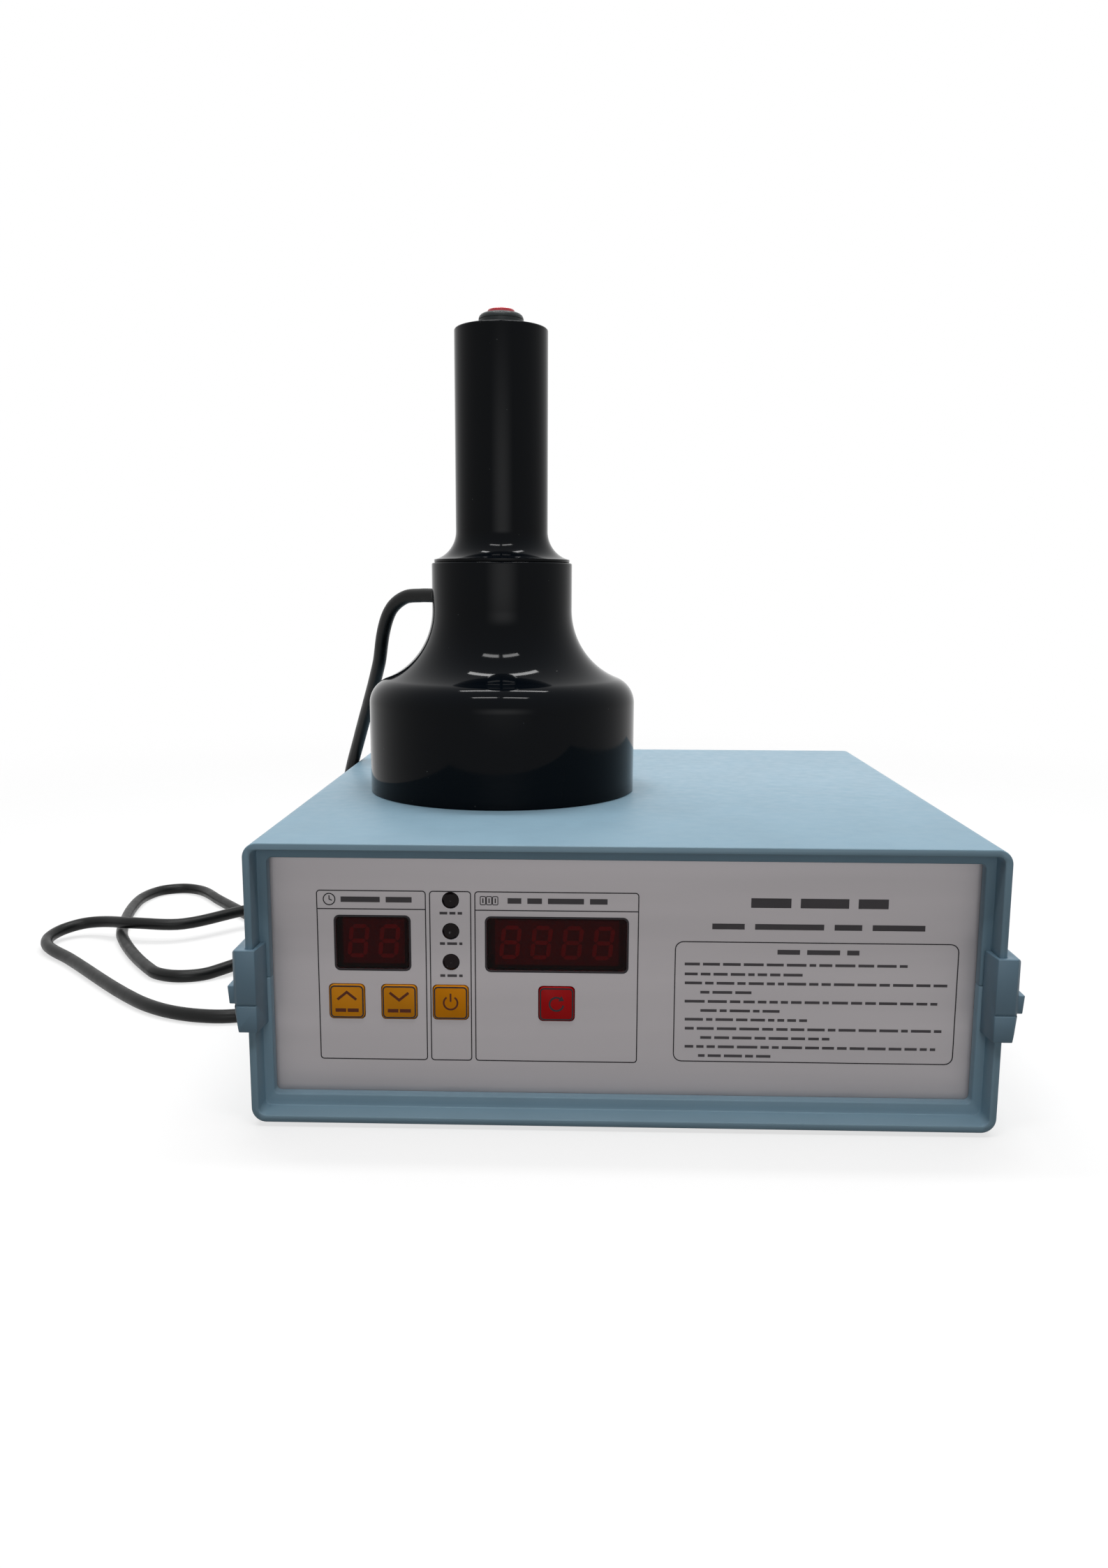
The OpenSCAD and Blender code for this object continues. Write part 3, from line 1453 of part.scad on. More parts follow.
bottom_shell();
top_shell();
case_screws();
rubber_feet();
front_left_clip();
front_right_clip();
rear_left_clip();
rear_right_clip();
front_panel();
panel_film();
time_window();
count_window();
level_lamps();
key_up();
key_down();
key_level();
key_reset();
display_board();
display_screws();
time_display();
count_display();
tact_switches();
main_board();
board_screws();
heat_sink();
power_transistors();
bridge_rectifier();
bus_capacitors();
resonant_capacitors();
choke();
supply_core();
supply_winding();
terminal_block();
rear_panel();
fan_frame();
fan_rotor();
fan_guard();
fan_screws();
mains_inlet();
inlet_pins();
switch_frame();
mains_rocker();
fuse_holder();
fuse_nut();
fuse_cap();
rear_gland();
gland_nut();
head_bell();
base_plate();
base_screws();
coil_former();
induction_coil();
ferrite_bars();
head_handle();
trigger_bezel();
trigger_switch();
trigger_nut();
trigger_button();
neck_bush();
head_cable();
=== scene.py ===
"""Looks of a bench-top induction cap sealer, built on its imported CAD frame.

A low plastic case carries a keypad panel behind a recessed rim. The sealing head stands on the case, and
its lead lies in loops beside it. Lengths are metres in the frame of the CAD part: X to the right, Y to the
back and Z up, with the feet on Z = 0. Sizes that the part's source also names are written in millimetres.
"""

import logging
import math
import random
from dataclasses import dataclass, field
from enum import Enum

import bmesh
import bpy
from mathutils import Matrix, Vector


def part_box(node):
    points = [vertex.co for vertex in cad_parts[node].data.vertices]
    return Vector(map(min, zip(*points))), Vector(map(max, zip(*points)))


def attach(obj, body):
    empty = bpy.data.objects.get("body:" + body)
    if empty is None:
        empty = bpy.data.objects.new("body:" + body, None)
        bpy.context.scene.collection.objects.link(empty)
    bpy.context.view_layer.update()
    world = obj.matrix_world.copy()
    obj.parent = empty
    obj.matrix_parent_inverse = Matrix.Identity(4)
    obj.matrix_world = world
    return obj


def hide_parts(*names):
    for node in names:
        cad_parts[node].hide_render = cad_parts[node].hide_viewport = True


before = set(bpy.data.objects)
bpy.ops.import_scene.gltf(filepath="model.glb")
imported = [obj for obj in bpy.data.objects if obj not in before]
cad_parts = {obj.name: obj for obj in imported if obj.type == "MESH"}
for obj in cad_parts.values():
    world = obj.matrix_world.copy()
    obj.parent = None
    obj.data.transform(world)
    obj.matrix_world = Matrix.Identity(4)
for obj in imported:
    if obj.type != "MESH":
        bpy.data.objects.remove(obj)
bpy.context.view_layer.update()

MM = 0.001
MICRON = 0.000001
LOG = logging.getLogger("cap_sealer")

Point = tuple[float, float, float]
Flat = tuple[float, float]
Colour = tuple[float, float, float]
Socket = bpy.types.NodeSocket


class Body(Enum):
    """The CAD bodies that new pieces ride on."""

    CASE = "case"
    TRIGGER = "trigger"
    UP_KEY = "up_key"
    DOWN_KEY = "down_key"
    LEVEL_KEY = "level_key"
    RESET_KEY = "reset_key"
    ROCKER = "rocker"


class Slot(Enum):
    """The record's material slots that new pieces belong to."""

    CASE = "case_plastic"
    CLIP = "clip_plastic"
    FILM = "printed_film"
    LAMP = "lamp"
    AMBER = "key_amber"
    ORANGE = "key_orange"
    RED = "key_red"
    SOFT_BLACK = "soft_black"
    GLOSS_BLACK = "gloss_black"
    SHEATH = "cable_sheath"
    STEEL = "steel"
    BEZEL = "bezel_plastic"
    BUTTON = "button_red"


def shade(red: int, green: int, blue: int) -> Colour:
    """Turns a screen colour, with parts from 0 to 255, into a shader's linear values."""
    parts = [value / 255 for value in (red, green, blue)]
    return tuple(v / 12.92 if v <= 0.04045 else ((v + 0.055) / 1.055) ** 2.4 for v in parts)


class Graph:
    """A node tree, with short calls for the nodes that finishes, studio and recipes share."""

    def __init__(self, tree: bpy.types.NodeTree) -> None:
        """Takes the tree to build in."""
        self.tree = tree

    def feed(self, socket: Socket, value: object) -> None:
        """Links an input to the socket that feeds it, or sets its own value."""
        if isinstance(value, Socket):
            self.tree.links.new(value, socket)
        else:
            socket.default_value = value

    def add(
        self, kind: str, inputs: dict[str | int, object] | None = None, **settings: object
    ) -> bpy.types.Node:
        """Adds a node.

        Args:
            kind: The node's type.
            inputs: Values or sockets for its inputs, by name or number.
            settings: The node's own options.

        Returns:
            The node.
        """
        node = self.tree.nodes.new(kind)
        for name, value in settings.items():
            setattr(node, name, value)
        for key, value in (inputs or {}).items():
            self.feed(node.inputs[key], value)
        return node

    def reckon(self, operation: str, *values: float | Socket) -> Socket:
        """Adds a calculation and returns its result."""
        return self.add("ShaderNodeMath", dict(enumerate(values)), operation=operation).outputs["Value"]

    def spread(
        self, value: Socket, low: float, high: float, start: float = 0.3, stop: float = 0.7, way: str = "LINEAR"
    ) -> Socket:
        """Maps a value to a range.

        Args:
            value: The value to map.
            low: Result at start.
            high: Result at stop.
            start: Value that gives low.
            stop: Value that gives high.
            way: How the result runs between them.

        Returns:
            The mapped value.
        """
        ends = {"Value": value, "From Min": start, "From Max": stop, "To Min": low, "To Max": high}
        return self.add("ShaderNodeMapRange", ends, interpolation_type=way).outputs["Result"]

    def blend(self, share: float | Socket, first: Socket, second: Socket) -> Socket:
        """Mixes two shaders and returns the mix, with share as the second one's share."""
        return self.add("ShaderNodeMixShader", {"Fac": share, 1: first, 2: second}).outputs["Shader"]


class Paint(Graph):
    """A material's node tree round one Principled shader."""

    def __init__(self, name: str) -> None:
        """Makes a material with its shader and Object coordinates.

        Args:
            name: The material's name.
        """
        self.material = bpy.data.materials.new(name)
        self.material.use_nodes = True
        super().__init__(self.material.node_tree)
        self.shader = self.tree.nodes["Principled BSDF"]
        self.place = self.add("ShaderNodeTexCoord").outputs["Object"]

    def put(self, name: str, value: float | tuple[float, ...] | Socket) -> None:
        """Sets or links one of the shader's own inputs."""
        self.feed(self.shader.inputs[name], value)

    def noise(self, size: float, detail: float, stretch: Point = (1, 1, 1)) -> Socket:
        """Adds noise on the object's own coordinates.

        Args:
            size: Size of its features.
            detail: Octaves of finer noise in it.
            stretch: How many times finer it is along each axis.

        Returns:
            The noise's value.
        """
        place = self.add("ShaderNodeMapping", {"Vector": self.place, "Scale": stretch}).outputs["Vector"]
        inputs = {"Vector": place, "Scale": 1 / size, "Detail": detail}
        return self.add("ShaderNodeTexNoise", inputs).outputs["Fac"]

    def mix(self, factor: Socket, first: Colour, second: Colour) -> Socket:
        """Blends two colours and returns the blend, with factor as the second one's share."""
        ends = {"Factor": factor, "A": (*first, 1), "B": (*second, 1)}
        return self.add("ShaderNodeMix", ends, data_type="RGBA").outputs["Result"]

    def bump(self, height: Socket, relief: float) -> None:
        """Raises the surface by a height of at most relief."""
        self.put("Normal", self.add("ShaderNodeBump", {"Distance": relief, "Height": height}).outputs["Normal"])


SMOOTHEST = 0.02
PATCH_DETAIL = 3.0
WEAR_DETAIL = 4.0
GRAIN_DETAIL = 2.0
POLISH_DETAIL = 1.0


@dataclass(frozen=True)
class Finish:
    """A surface with mottled colour, uneven gloss and a fine grain."""

    name: str
    colour: Colour
    roughness: float = 0.45
    unevenness: float = 0.06
    mottle: float = 0.06
    mottle_size: float = 25 * MM
    grain_size: float = 0.5 * MM
    grain_stretch: Point = (1, 1, 1)
    relief: float = 12 * MICRON
    specular: float = 0.5
    metallic: float = 0.0

    def material(self) -> bpy.types.Material:
        """Returns the finish's material, made at its first use."""
        made = bpy.data.materials.get(self.name)
        if made is None:
            paint = Paint(self.name)
            self.lay(paint)
            made = paint.material
        return made

    def lay(self, paint: Paint) -> None:
        """Builds the shader.

        Args:
            paint: The node tree to build in.
        """
        paint.put("Specular IOR Level", self.specular)
        paint.put("Metallic", self.metallic)
        patches = paint.spread(paint.noise(self.mottle_size, PATCH_DETAIL, self.grain_stretch), 0, 1)
        dark = tuple(part * (1 - self.mottle) for part in self.colour)
        light = tuple(min(1.0, part * (1 + self.mottle)) for part in self.colour)
        paint.put("Base Color", paint.mix(patches, dark, light))
        self.wear(paint, paint.noise(self.mottle_size / 4, WEAR_DETAIL, self.grain_stretch))
        paint.bump(paint.noise(self.grain_size, GRAIN_DETAIL, self.grain_stretch), self.relief)

    def wear(self, paint: Paint, smears: Socket) -> None:
        """Lets the gloss vary with a noise."""
        low = max(SMOOTHEST, self.roughness - self.unevenness)
        paint.put("Roughness", paint.spread(smears, low, self.roughness + self.unevenness))

    def dress(self, piece: bpy.types.Object) -> bpy.types.Object:
        """Gives a piece this finish alone.

        Args:
            piece: The piece to dress.

        Returns:
            The same piece.
        """
        piece.data.materials.clear()
        piece.data.materials.append(self.material())
        return piece


@dataclass(frozen=True)
class GlossFinish(Finish):
    """A polished surface with a faint wave in its gloss and a few specks of dust."""

    dust: Colour = (0.2, 0.2, 0.2)
    dust_size: float = 2.2 * MM
    dust_start: float = 0.74
    dust_edge: float = 0.03

    def lay(self, paint: Paint) -> None:
        """Builds the shader, with dust over the polish.

        Args:
            paint: The node tree to build in.
        """
        paint.put("Specular IOR Level", self.specular)
        dust = paint.noise(self.dust_size, POLISH_DETAIL)
        specks = paint.spread(dust, 0, 1, self.dust_start, self.dust_start + self.dust_edge)
        paint.put("Base Color", paint.mix(specks, self.colour, self.dust))
        self.wear(paint, paint.noise(self.mottle_size, WEAR_DETAIL))
        paint.bump(paint.noise(self.grain_size, POLISH_DETAIL), self.relief)


@dataclass(frozen=True)
class ClearFinish(Finish):
    """A tinted see-through plastic."""

    index: float = 1.49

    def lay(self, paint: Paint) -> None:
        """Builds the shader, with light passing through.

        Args:
            paint: The node tree to build in.
        """
        super().lay(paint)
        paint.put("Transmission Weight", 1.0)
        paint.put("IOR", self.index)


@dataclass(frozen=True)
class PaintedGlowFinish(Finish):
    """A surface with a painted glow: it shines a little by itself, though it is no lamp."""

    painted_glow: float = 0.3

    def lay(self, paint: Paint) -> None:
        """Builds the shader, with a constant painted glow.

        Args:
            paint: The node tree to build in.
        """
        super().lay(paint)
        # Painted glow: this emission stands in for light and does not make the part a lamp.
        paint.put("Emission Color", (*self.colour, 1))
        paint.put("Emission Strength", self.painted_glow)


CASE_PLASTIC = Finish(
    "moulded case plastic", shade(124, 152, 168), 0.42, mottle=0.03, relief=9 * MICRON, specular=0.28
)
CLIP_PLASTIC = Finish(
    "clip plastic", shade(107, 134, 151), 0.4, mottle=0.03, relief=8 * MICRON, specular=0.28
)
PANEL_PLASTIC = Finish("panel backing", shade(150, 150, 152), 0.5)
FILM = Finish(
    "satin film", shade(174, 169, 171), 0.40, 0.04, 0.03, mottle_size=9 * MM, grain_size=0.25 * MM,
    grain_stretch=(0.06, 1, 1), relief=1.2 * MICRON, specular=0.3, metallic=0.45,
)
WINDOW = ClearFinish("red window", (0.36, 0.006, 0.006), 0.08, 0.03, 0.02, relief=1 * MICRON, index=1.15)
LAMP_LENS = GlossFinish("lamp lens", shade(26, 9, 13), 0.12, 0.04, relief=2 * MICRON, specular=0.12)
DIGIT_FACE = Finish("digit face", shade(74, 8, 9), 0.35, relief=3 * MICRON)
# Painted glow: the unlit segments shine faintly so that they show through the dark red window, which lets little
# light reach them.
DIGIT_SEGMENT = PaintedGlowFinish("digit segment", shade(130, 14, 18), 0.4, relief=3 * MICRON, painted_glow=0.03)
KEY_AMBER = Finish("amber key", shade(244, 156, 26), 0.38, mottle=0.03, relief=4 * MICRON, specular=0.12)
KEY_ORANGE = Finish("orange key", shade(250, 155, 12), 0.38, mottle=0.03, relief=4 * MICRON, specular=0.12)
KEY_RED = Finish("red key", shade(184, 8, 14), 0.36, mottle=0.03, relief=4 * MICRON, specular=0.12)
INK = Finish("dark ink", shade(34, 30, 34), 0.5, mottle=0.1, relief=3 * MICRON, specular=0.25)
WORD_INK = Finish("word ink", shade(74, 70, 73), 0.5, mottle=0.1, relief=3 * MICRON, specular=0.25)
KEY_INK = Finish("key ink", shade(84, 34, 8), 0.5, mottle=0.1, relief=3 * MICRON, specular=0.25)
WHITE_INK = Finish("white ink", shade(225, 225, 222), 0.5, mottle=0.04, relief=3 * MICRON)
SOFT_BLACK = Finish("soft black plastic", shade(27, 28, 30), 0.48, relief=14 * MICRON)
GLOSS_BLACK = GlossFinish(
    "polished black", (0.0009, 0.0020, 0.0036), 0.08, 0.03, mottle_size=40 * MM, grain_size=22 * MM,
    relief=2 * MICRON, specular=0.075, dust=(0.06, 0.06, 0.06), dust_start=0.79,
)
RUBBER = Finish("foot rubber", shade(30, 30, 31), 0.72, relief=30 * MICRON)
SHEATH = Finish(
    "cable sheath", shade(15, 16, 16), 0.38, grain_size=0.8 * MM, relief=14 * MICRON, specular=0.22
)
STEEL = Finish(
    "zinc steel", (0.48, 0.48, 0.47), 0.3, 0.1, 0.08, 6 * MM, 0.3 * MM, relief=6 * MICRON, metallic=1.0
)
ALUMINIUM = Finish(
    "brushed aluminium", (0.70, 0.71, 0.72), 0.35, 0.08, 0.05, grain_stretch=(1, 0.05, 1), metallic=1.0
)
COPPER = Finish("lacquered copper", (0.68, 0.29, 0.13), 0.3, 0.08, metallic=1.0)
FERRITE = Finish("ferrite", shade(52, 52, 55), 0.6, relief=25 * MICRON)
CIRCUIT_BOARD = Finish("circuit board", shade(24, 96, 54), 0.35, mottle=0.12, grain_size=1.2 * MM)
CAPACITOR_SLEEVE = Finish("capacitor sleeve", shade(30, 36, 62), 0.3)
CAPACITOR_CASE = Finish("capacitor case", shade(176, 46, 34), 0.4)
WINDING_TAPE = Finish("winding tape", shade(222, 176, 40), 0.4)
TERMINAL_PLASTIC = Finish("terminal plastic", shade(36, 112, 70), 0.45)
FORMER_PLASTIC = Finish("former plastic", shade(222, 218, 204), 0.5)
BEZEL_PLASTIC = Finish("bezel plastic", shade(38, 45, 46), 0.34, relief=6 * MICRON, specular=0.2)
BUTTON_RED = Finish("button red", shade(206, 56, 68), 0.24, mottle=0.03, relief=5 * MICRON)
REAR_SHEET = Finish(
    "rear sheet", shade(190, 192, 196), 0.38, mottle=0.03, grain_size=0.2 * MM, grain_stretch=(0.06, 1, 1),
    relief=3 * MICRON,
)

NODE_FINISHES = {
    CASE_PLASTIC: ("bottom_shell", "top_shell"),
    CLIP_PLASTIC: ("front_left_clip", "front_right_clip", "rear_left_clip", "rear_right_clip"),
    PANEL_PLASTIC: ("front_panel",),
    FILM: ("panel_film",),
    REAR_SHEET: ("rear_panel",),
    WINDOW: ("time_window", "count_window"),
    LAMP_LENS: ("level_lamps",),
    DIGIT_FACE: ("time_display", "count_display"),
    KEY_AMBER: ("key_up", "key_down"),
    KEY_ORANGE: ("key_level",),
    KEY_RED: ("key_reset",),
    CIRCUIT_BOARD: ("display_board", "main_board"),
    SOFT_BLACK: (
        "tact_switches", "power_transistors", "bridge_rectifier", "fan_frame", "fan_rotor", "mains_inlet",
        "switch_frame", "mains_rocker", "fuse_holder", "fuse_nut", "fuse_cap", "rear_gland", "gland_nut",
        "base_plate", "trigger_switch", "neck_bush",
    ),
    CAPACITOR_SLEEVE: ("bus_capacitors",),
    CAPACITOR_CASE: ("resonant_capacitors",),
    COPPER: ("choke", "induction_coil"),
    FERRITE: ("supply_core", "ferrite_bars"),
    WINDING_TAPE: ("supply_winding",),
    TERMINAL_PLASTIC: ("terminal_block",),
    ALUMINIUM: ("heat_sink",),
    STEEL: (
        "case_screws", "display_screws", "board_screws", "fan_guard", "fan_screws", "inlet_pins", "base_screws",
        "trigger_nut",
    ),
    FORMER_PLASTIC: ("coil_former",),
    GLOSS_BLACK: ("head_bell", "head_handle"),
    BEZEL_PLASTIC: ("trigger_bezel",),
    BUTTON_RED: ("trigger_button",),
    RUBBER: ("rubber_feet",),
    SHEATH: ("head_cable",),
}


def new_piece(name: str, data: bpy.types.ID) -> bpy.types.Object:
    """Puts a mesh, a curve, a lamp or a camera into the scene as an object of its own.

    Args:
        name: The object's name.
        data: What it shows, in the frame of the part.

    Returns:
        The new object.
    """
    piece = bpy.data.objects.new(name, data)
    bpy.context.scene.collection.objects.link(piece)
    return piece


def mesh_of(name: str, shape: bmesh.types.BMesh) -> bpy.types.Mesh:
    """Turns a finished shape into a mesh.

    Args:
        name: The mesh's name.
        shape: The shape, which is used up.

    Returns:
        The mesh.
    """
    mesh = bpy.data.meshes.new(name)
    shape.to_mesh(mesh)
    shape.free()
    return mesh


def points_mesh(name: str, points: list[Point], **numbers: list[float]) -> bpy.types.Mesh:
    """Makes a mesh of loose points for a recipe to start from.

    Args:
        name: The mesh's name.
        points: Its points.
        numbers: What the points carry, one list for each named attribute.

    Returns:
        The mesh.
    """
    mesh = bpy.data.meshes.new(name)
    mesh.from_pydata(points, [], [])
    for attribute, values in numbers.items():
        mesh.attributes.new(attribute, "FLOAT", "POINT").data.foreach_set("value", values)
    return mesh


def keep_result(piece: bpy.types.Object, modifier: bpy.types.Modifier) -> None:
    """Makes a modifier's result the piece's own plain mesh and removes the modifier.

    Args:
        piece: The piece.
        modifier: Its only modifier, with all inputs set.
    """
    bpy.context.view_layer.update()
    evaluated = piece.evaluated_get(bpy.context.evaluated_depsgraph_get())
    piece.data = bpy.data.meshes.new_from_object(evaluated)
    piece.modifiers.remove(modifier)


def smooth(mesh: bpy.types.Mesh, angle: float = 32.0) -> None:
    """Shades a mesh smooth, apart from edges sharper than an angle in degrees."""
    mesh.shade_smooth()
    mesh.set_sharp_from_angle(angle=math.radians(angle))


def enrol(piece: bpy.types.Object, body: Body, slot: Slot, *nodes: str) -> None:
    """Lets a piece ride on its body, hides the nodes that it stands for, and reports it.

    Args:
        piece: The finished piece.
        body: The body that it moves with.
        slot: Not used.
        nodes: CAD nodes that it replaces.
    """
    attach(piece, body.value)
    if nodes:
        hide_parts(*nodes)
    LOG.info("%s rides on %s", piece.name, body.value)


def arc(middle: Flat, radius: float, start: float, stop: float, steps: int) -> list[Flat]:
    """Gives the points of an arc.

    Args:
        middle: Its centre.
        radius: Its radius.
        start: First angle in degrees.
        stop: Last angle in degrees.
        steps: Number of steps between them.

    Returns:
        The points, both ends included.
    """
    angles = [math.radians(start + (stop - start) * i / steps) for i in range(steps + 1)]
    return [(middle[0] + radius * math.cos(a), middle[1] + radius * math.sin(a)) for a in angles]


def turned(name: str, profile: list[Flat], axis: Vector, steps: int) -> bpy.types.Object:
    """Turns a closed outline into a solid round an upright axis.

    Args:
        name: The piece's name.
        profile: Outline as radius and height.
        axis: Foot of the axis.
        steps: Steps round the axis.

    Returns:
        The piece.
    """
    shape = bmesh.new()
    rings = []
    for i in range(steps):
        turn = 2 * math.pi * i / steps
        ring = [
            shape.verts.new((axis.x + r * math.cos(turn), axis.y + r * math.sin(turn), axis.z + z))
            for r, z in profile
        ]
        rings.append(ring)
    count = len(profile)
    for near, far in zip(rings, rings[1:] + rings[:1]):
        for i in range(count):
            j = (i + 1) % count
            if profile[i][0] > 0 or profile[j][0] > 0:
                shape.faces.new((near[i], far[i], far[j], near[j]))
    bmesh.ops.remove_doubles(shape, verts=shape.verts, dist=MICRON)
    bmesh.ops.recalc_face_normals(shape, faces=shape.faces)
    mesh = mesh_of(name, shape)
    smooth(mesh)
    return new_piece(name, mesh)


@dataclass(frozen=True)
class Lamp:
    """A rectangular lamp that polish mirrors or not, with even light or soft edges."""

    name: str
    place: Point
    target: Point
    size: Flat
    watts: float
    mirrored: bool = True
    soft: bool = False
    half: float = 0.5
    core: float = 0.02

    def hang(self) -> None:
        """Hangs the lamp and points it at its target."""
        data = bpy.data.lights.new(self.name, "AREA")
        data.shape = "RECTANGLE"
        data.size, data.size_y = self.size
        data.energy = self.watts
        lamp = new_piece(self.name, data)
        lamp.location = self.place
        lamp.rotation_euler = (Vector(self.target) - Vector(self.place)).to_track_quat("-Z", "Y").to_euler()
        lamp.visible_glossy = self.mirrored
        if self.soft:
            self.soften(data)

    def soften(self, data: bpy.types.AreaLight) -> None:
        """Lets the light fade towards the lamp's edges, so that polish shows no hard rectangle.

        Args:
            data: The lamp's data.
        """
        data.use_nodes = True
        graph = Graph(data.node_tree)
        place = graph.add("ShaderNodeNewGeometry").outputs["Parametric"]
        parts = graph.add("ShaderNodeSeparateXYZ", {"Vector": place})
        fades = []
        for part in ("X", "Y"):
            far = graph.reckon("ABSOLUTE", graph.reckon("SUBTRACT", parts.outputs[part], self.half))
            fades.append(graph.spread(far, 1.0, 0.0, self.core, self.half, "SMOOTHSTEP"))
        graph.feed(graph.tree.nodes["Emission"].inputs["Strength"], graph.reckon("MULTIPLY", *fades))


TUBE_PLACES = ((-0.30, -0.60), (0.20, -0.60), (-0.30, 0.25), (0.20, 0.25))
LAMPS = (
    Lamp("overhead", (0.10, 0.15, 1.60), (0.10, 0.15, 0.0), (1.8, 1.5), 19.0, mirrored=False),
    Lamp("front fill", (0.08, -1.60, 0.38), (0.0, 0.0, 0.18), (1.8, 1.0), 13.0, soft=True),
    *[Lamp(f"tube {i}", (x, y, 1.5), (x, y, 0.0), (0.4, 0.12), 4.0) for i, (x, y) in enumerate(TUBE_PLACES)],
    *[
        Lamp(f"rear fill {side}", (side * 1.3, 1.1, 0.8), (0.0, 0.0, 0.1), (1.0, 1.0), 4.5, mirrored=False)
        for side in (-1, 1)
    ],
)


@dataclass
class Studio:
    """Floor, background, lamps, and the camera at the photograph's angle."""

    eye: Point = (-14.87 * MM, -594.55 * MM, 216.53 * MM)
    yaw: float = -1.59
    pitch: float = 9.312
    roll: float = 0.194
    focal_px: float = 1703.6
    long_side_px: float = 2245
    sensor: float = 36.0
    near_clip: float = 10 * MM
    floor_radius: float = 4.0
    floor_steps: int = 96
    floor_shade: float = 0.92
    floor_lift: float = 0.7
    floor_bounce: float = 0.06
    fade_start: float = 0.45
    fade_stop: float = 1.3
    sky_light: float = 0.03
    lamps: tuple[Lamp, ...] = LAMPS

    def build(self) -> None:
        """Sets up the whole studio."""
        bpy.context.scene.view_settings.view_transform = "Standard"
        self.set_camera()
        self.lay_floor()
        self.set_world()
        for lamp in self.lamps:
            lamp.hang()
        LOG.info("studio ready")

    def set_camera(self) -> None:
        """Makes the camera from the photograph's solved place and turn."""
        yaw, pitch, roll = (math.radians(value) for value in (self.yaw, self.pitch, self.roll))
        ahead = Vector((math.sin(yaw) * math.cos(pitch), math.cos(yaw) * math.cos(pitch), -math.sin(pitch)))
        right = Vector((math.cos(yaw), -math.sin(yaw), 0))
        up = right.cross(ahead)
        across = math.cos(roll) * right + math.sin(roll) * up
        upward = math.cos(roll) * up - math.sin(roll) * right
        data = bpy.data.cameras.new("camera")
        data.sensor_width = self.sensor
        data.lens = self.focal_px / self.long_side_px * self.sensor
        data.clip_start = self.near_clip
        camera = new_piece("camera", data)
        turn = Matrix((across, upward, -ahead)).transposed().to_4x4()
        camera.matrix_world = Matrix.Translation(self.eye) @ turn
        bpy.context.scene.camera = camera

    @staticmethod
    def seen_directly(graph: Graph) -> Socket:
        """Tells camera, glossy and transmission rays from the rest.

        Args:
            graph: The tree to add the nodes to.

        Returns:
            1 for those rays and 0 for others.
        """
        rays = graph.add("ShaderNodeLightPath").outputs
        bare = graph.reckon("MAXIMUM", rays["Is Camera Ray"], rays["Is Glossy Ray"])
        return graph.reckon("MAXIMUM", bare, rays["Is Transmission Ray"])

    def lay_floor(self) -> None:
        """Lays a pale floor that keeps the object's shadow and lights the object only a little."""
        shape = bmesh.new()
        bmesh.ops.create_circle(shape, cap_ends=True, radius=self.floor_radius, segments=self.floor_steps)
        floor = new_piece("floor", mesh_of("floor", shape))
        material = bpy.data.materials.new("pale floor")
        material.use_nodes = True
        material.node_tree.nodes.clear()
        graph = Graph(material.node_tree)
        bounce, pale = (
            graph.add("ShaderNodeBsdfDiffuse", {"Color": (*[grey] * 3, 1)}).outputs["BSDF"]
            for grey in (self.floor_bounce, self.floor_shade)
        )
        white = graph.add("ShaderNodeEmission").outputs["Emission"]
        clear = graph.add("ShaderNodeBsdfTransparent").outputs["BSDF"]
        chosen = graph.blend(self.seen_directly(graph), bounce, graph.blend(self.floor_lift, pale, white))
        graph.add("ShaderNodeOutputMaterial", {"Surface": graph.blend(self.fade(graph), chosen, clear)})
        floor.data.materials.append(material)

    def fade(self, graph: Graph) -> Socket:
        """Lets the floor fade into the background away from the object.

        Args:
            graph: The floor's node tree.

        Returns:
            0 near the object, 1 far from it.
        """
        place = graph.add("ShaderNodeTexCoord").outputs["Object"]
        reach = graph.add("ShaderNodeVectorMath", {0: place}, operation="LENGTH").outputs["Value"]
        return graph.spread(reach, 0.0, 1.0, self.fade_start, self.fade_stop, "SMOOTHSTEP")

    def set_world(self) -> None:
        """Makes a white background that lights the object softly."""
        world = bpy.data.worlds.new("studio")
        world.use_nodes = True
        bpy.context.scene.world = world
        world.node_tree.nodes.clear()
        graph = Graph(world.node_tree)
        soft, white = (
            graph.add("ShaderNodeBackground", {"Color": (1, 1, 1, 1), "Strength": light}).outputs["Background"]
            for light in (self.sky_light, 1.0)
        )
        graph.add("ShaderNodeOutputWorld", {"Surface": graph.blend(self.seen_directly(graph), soft, white)})


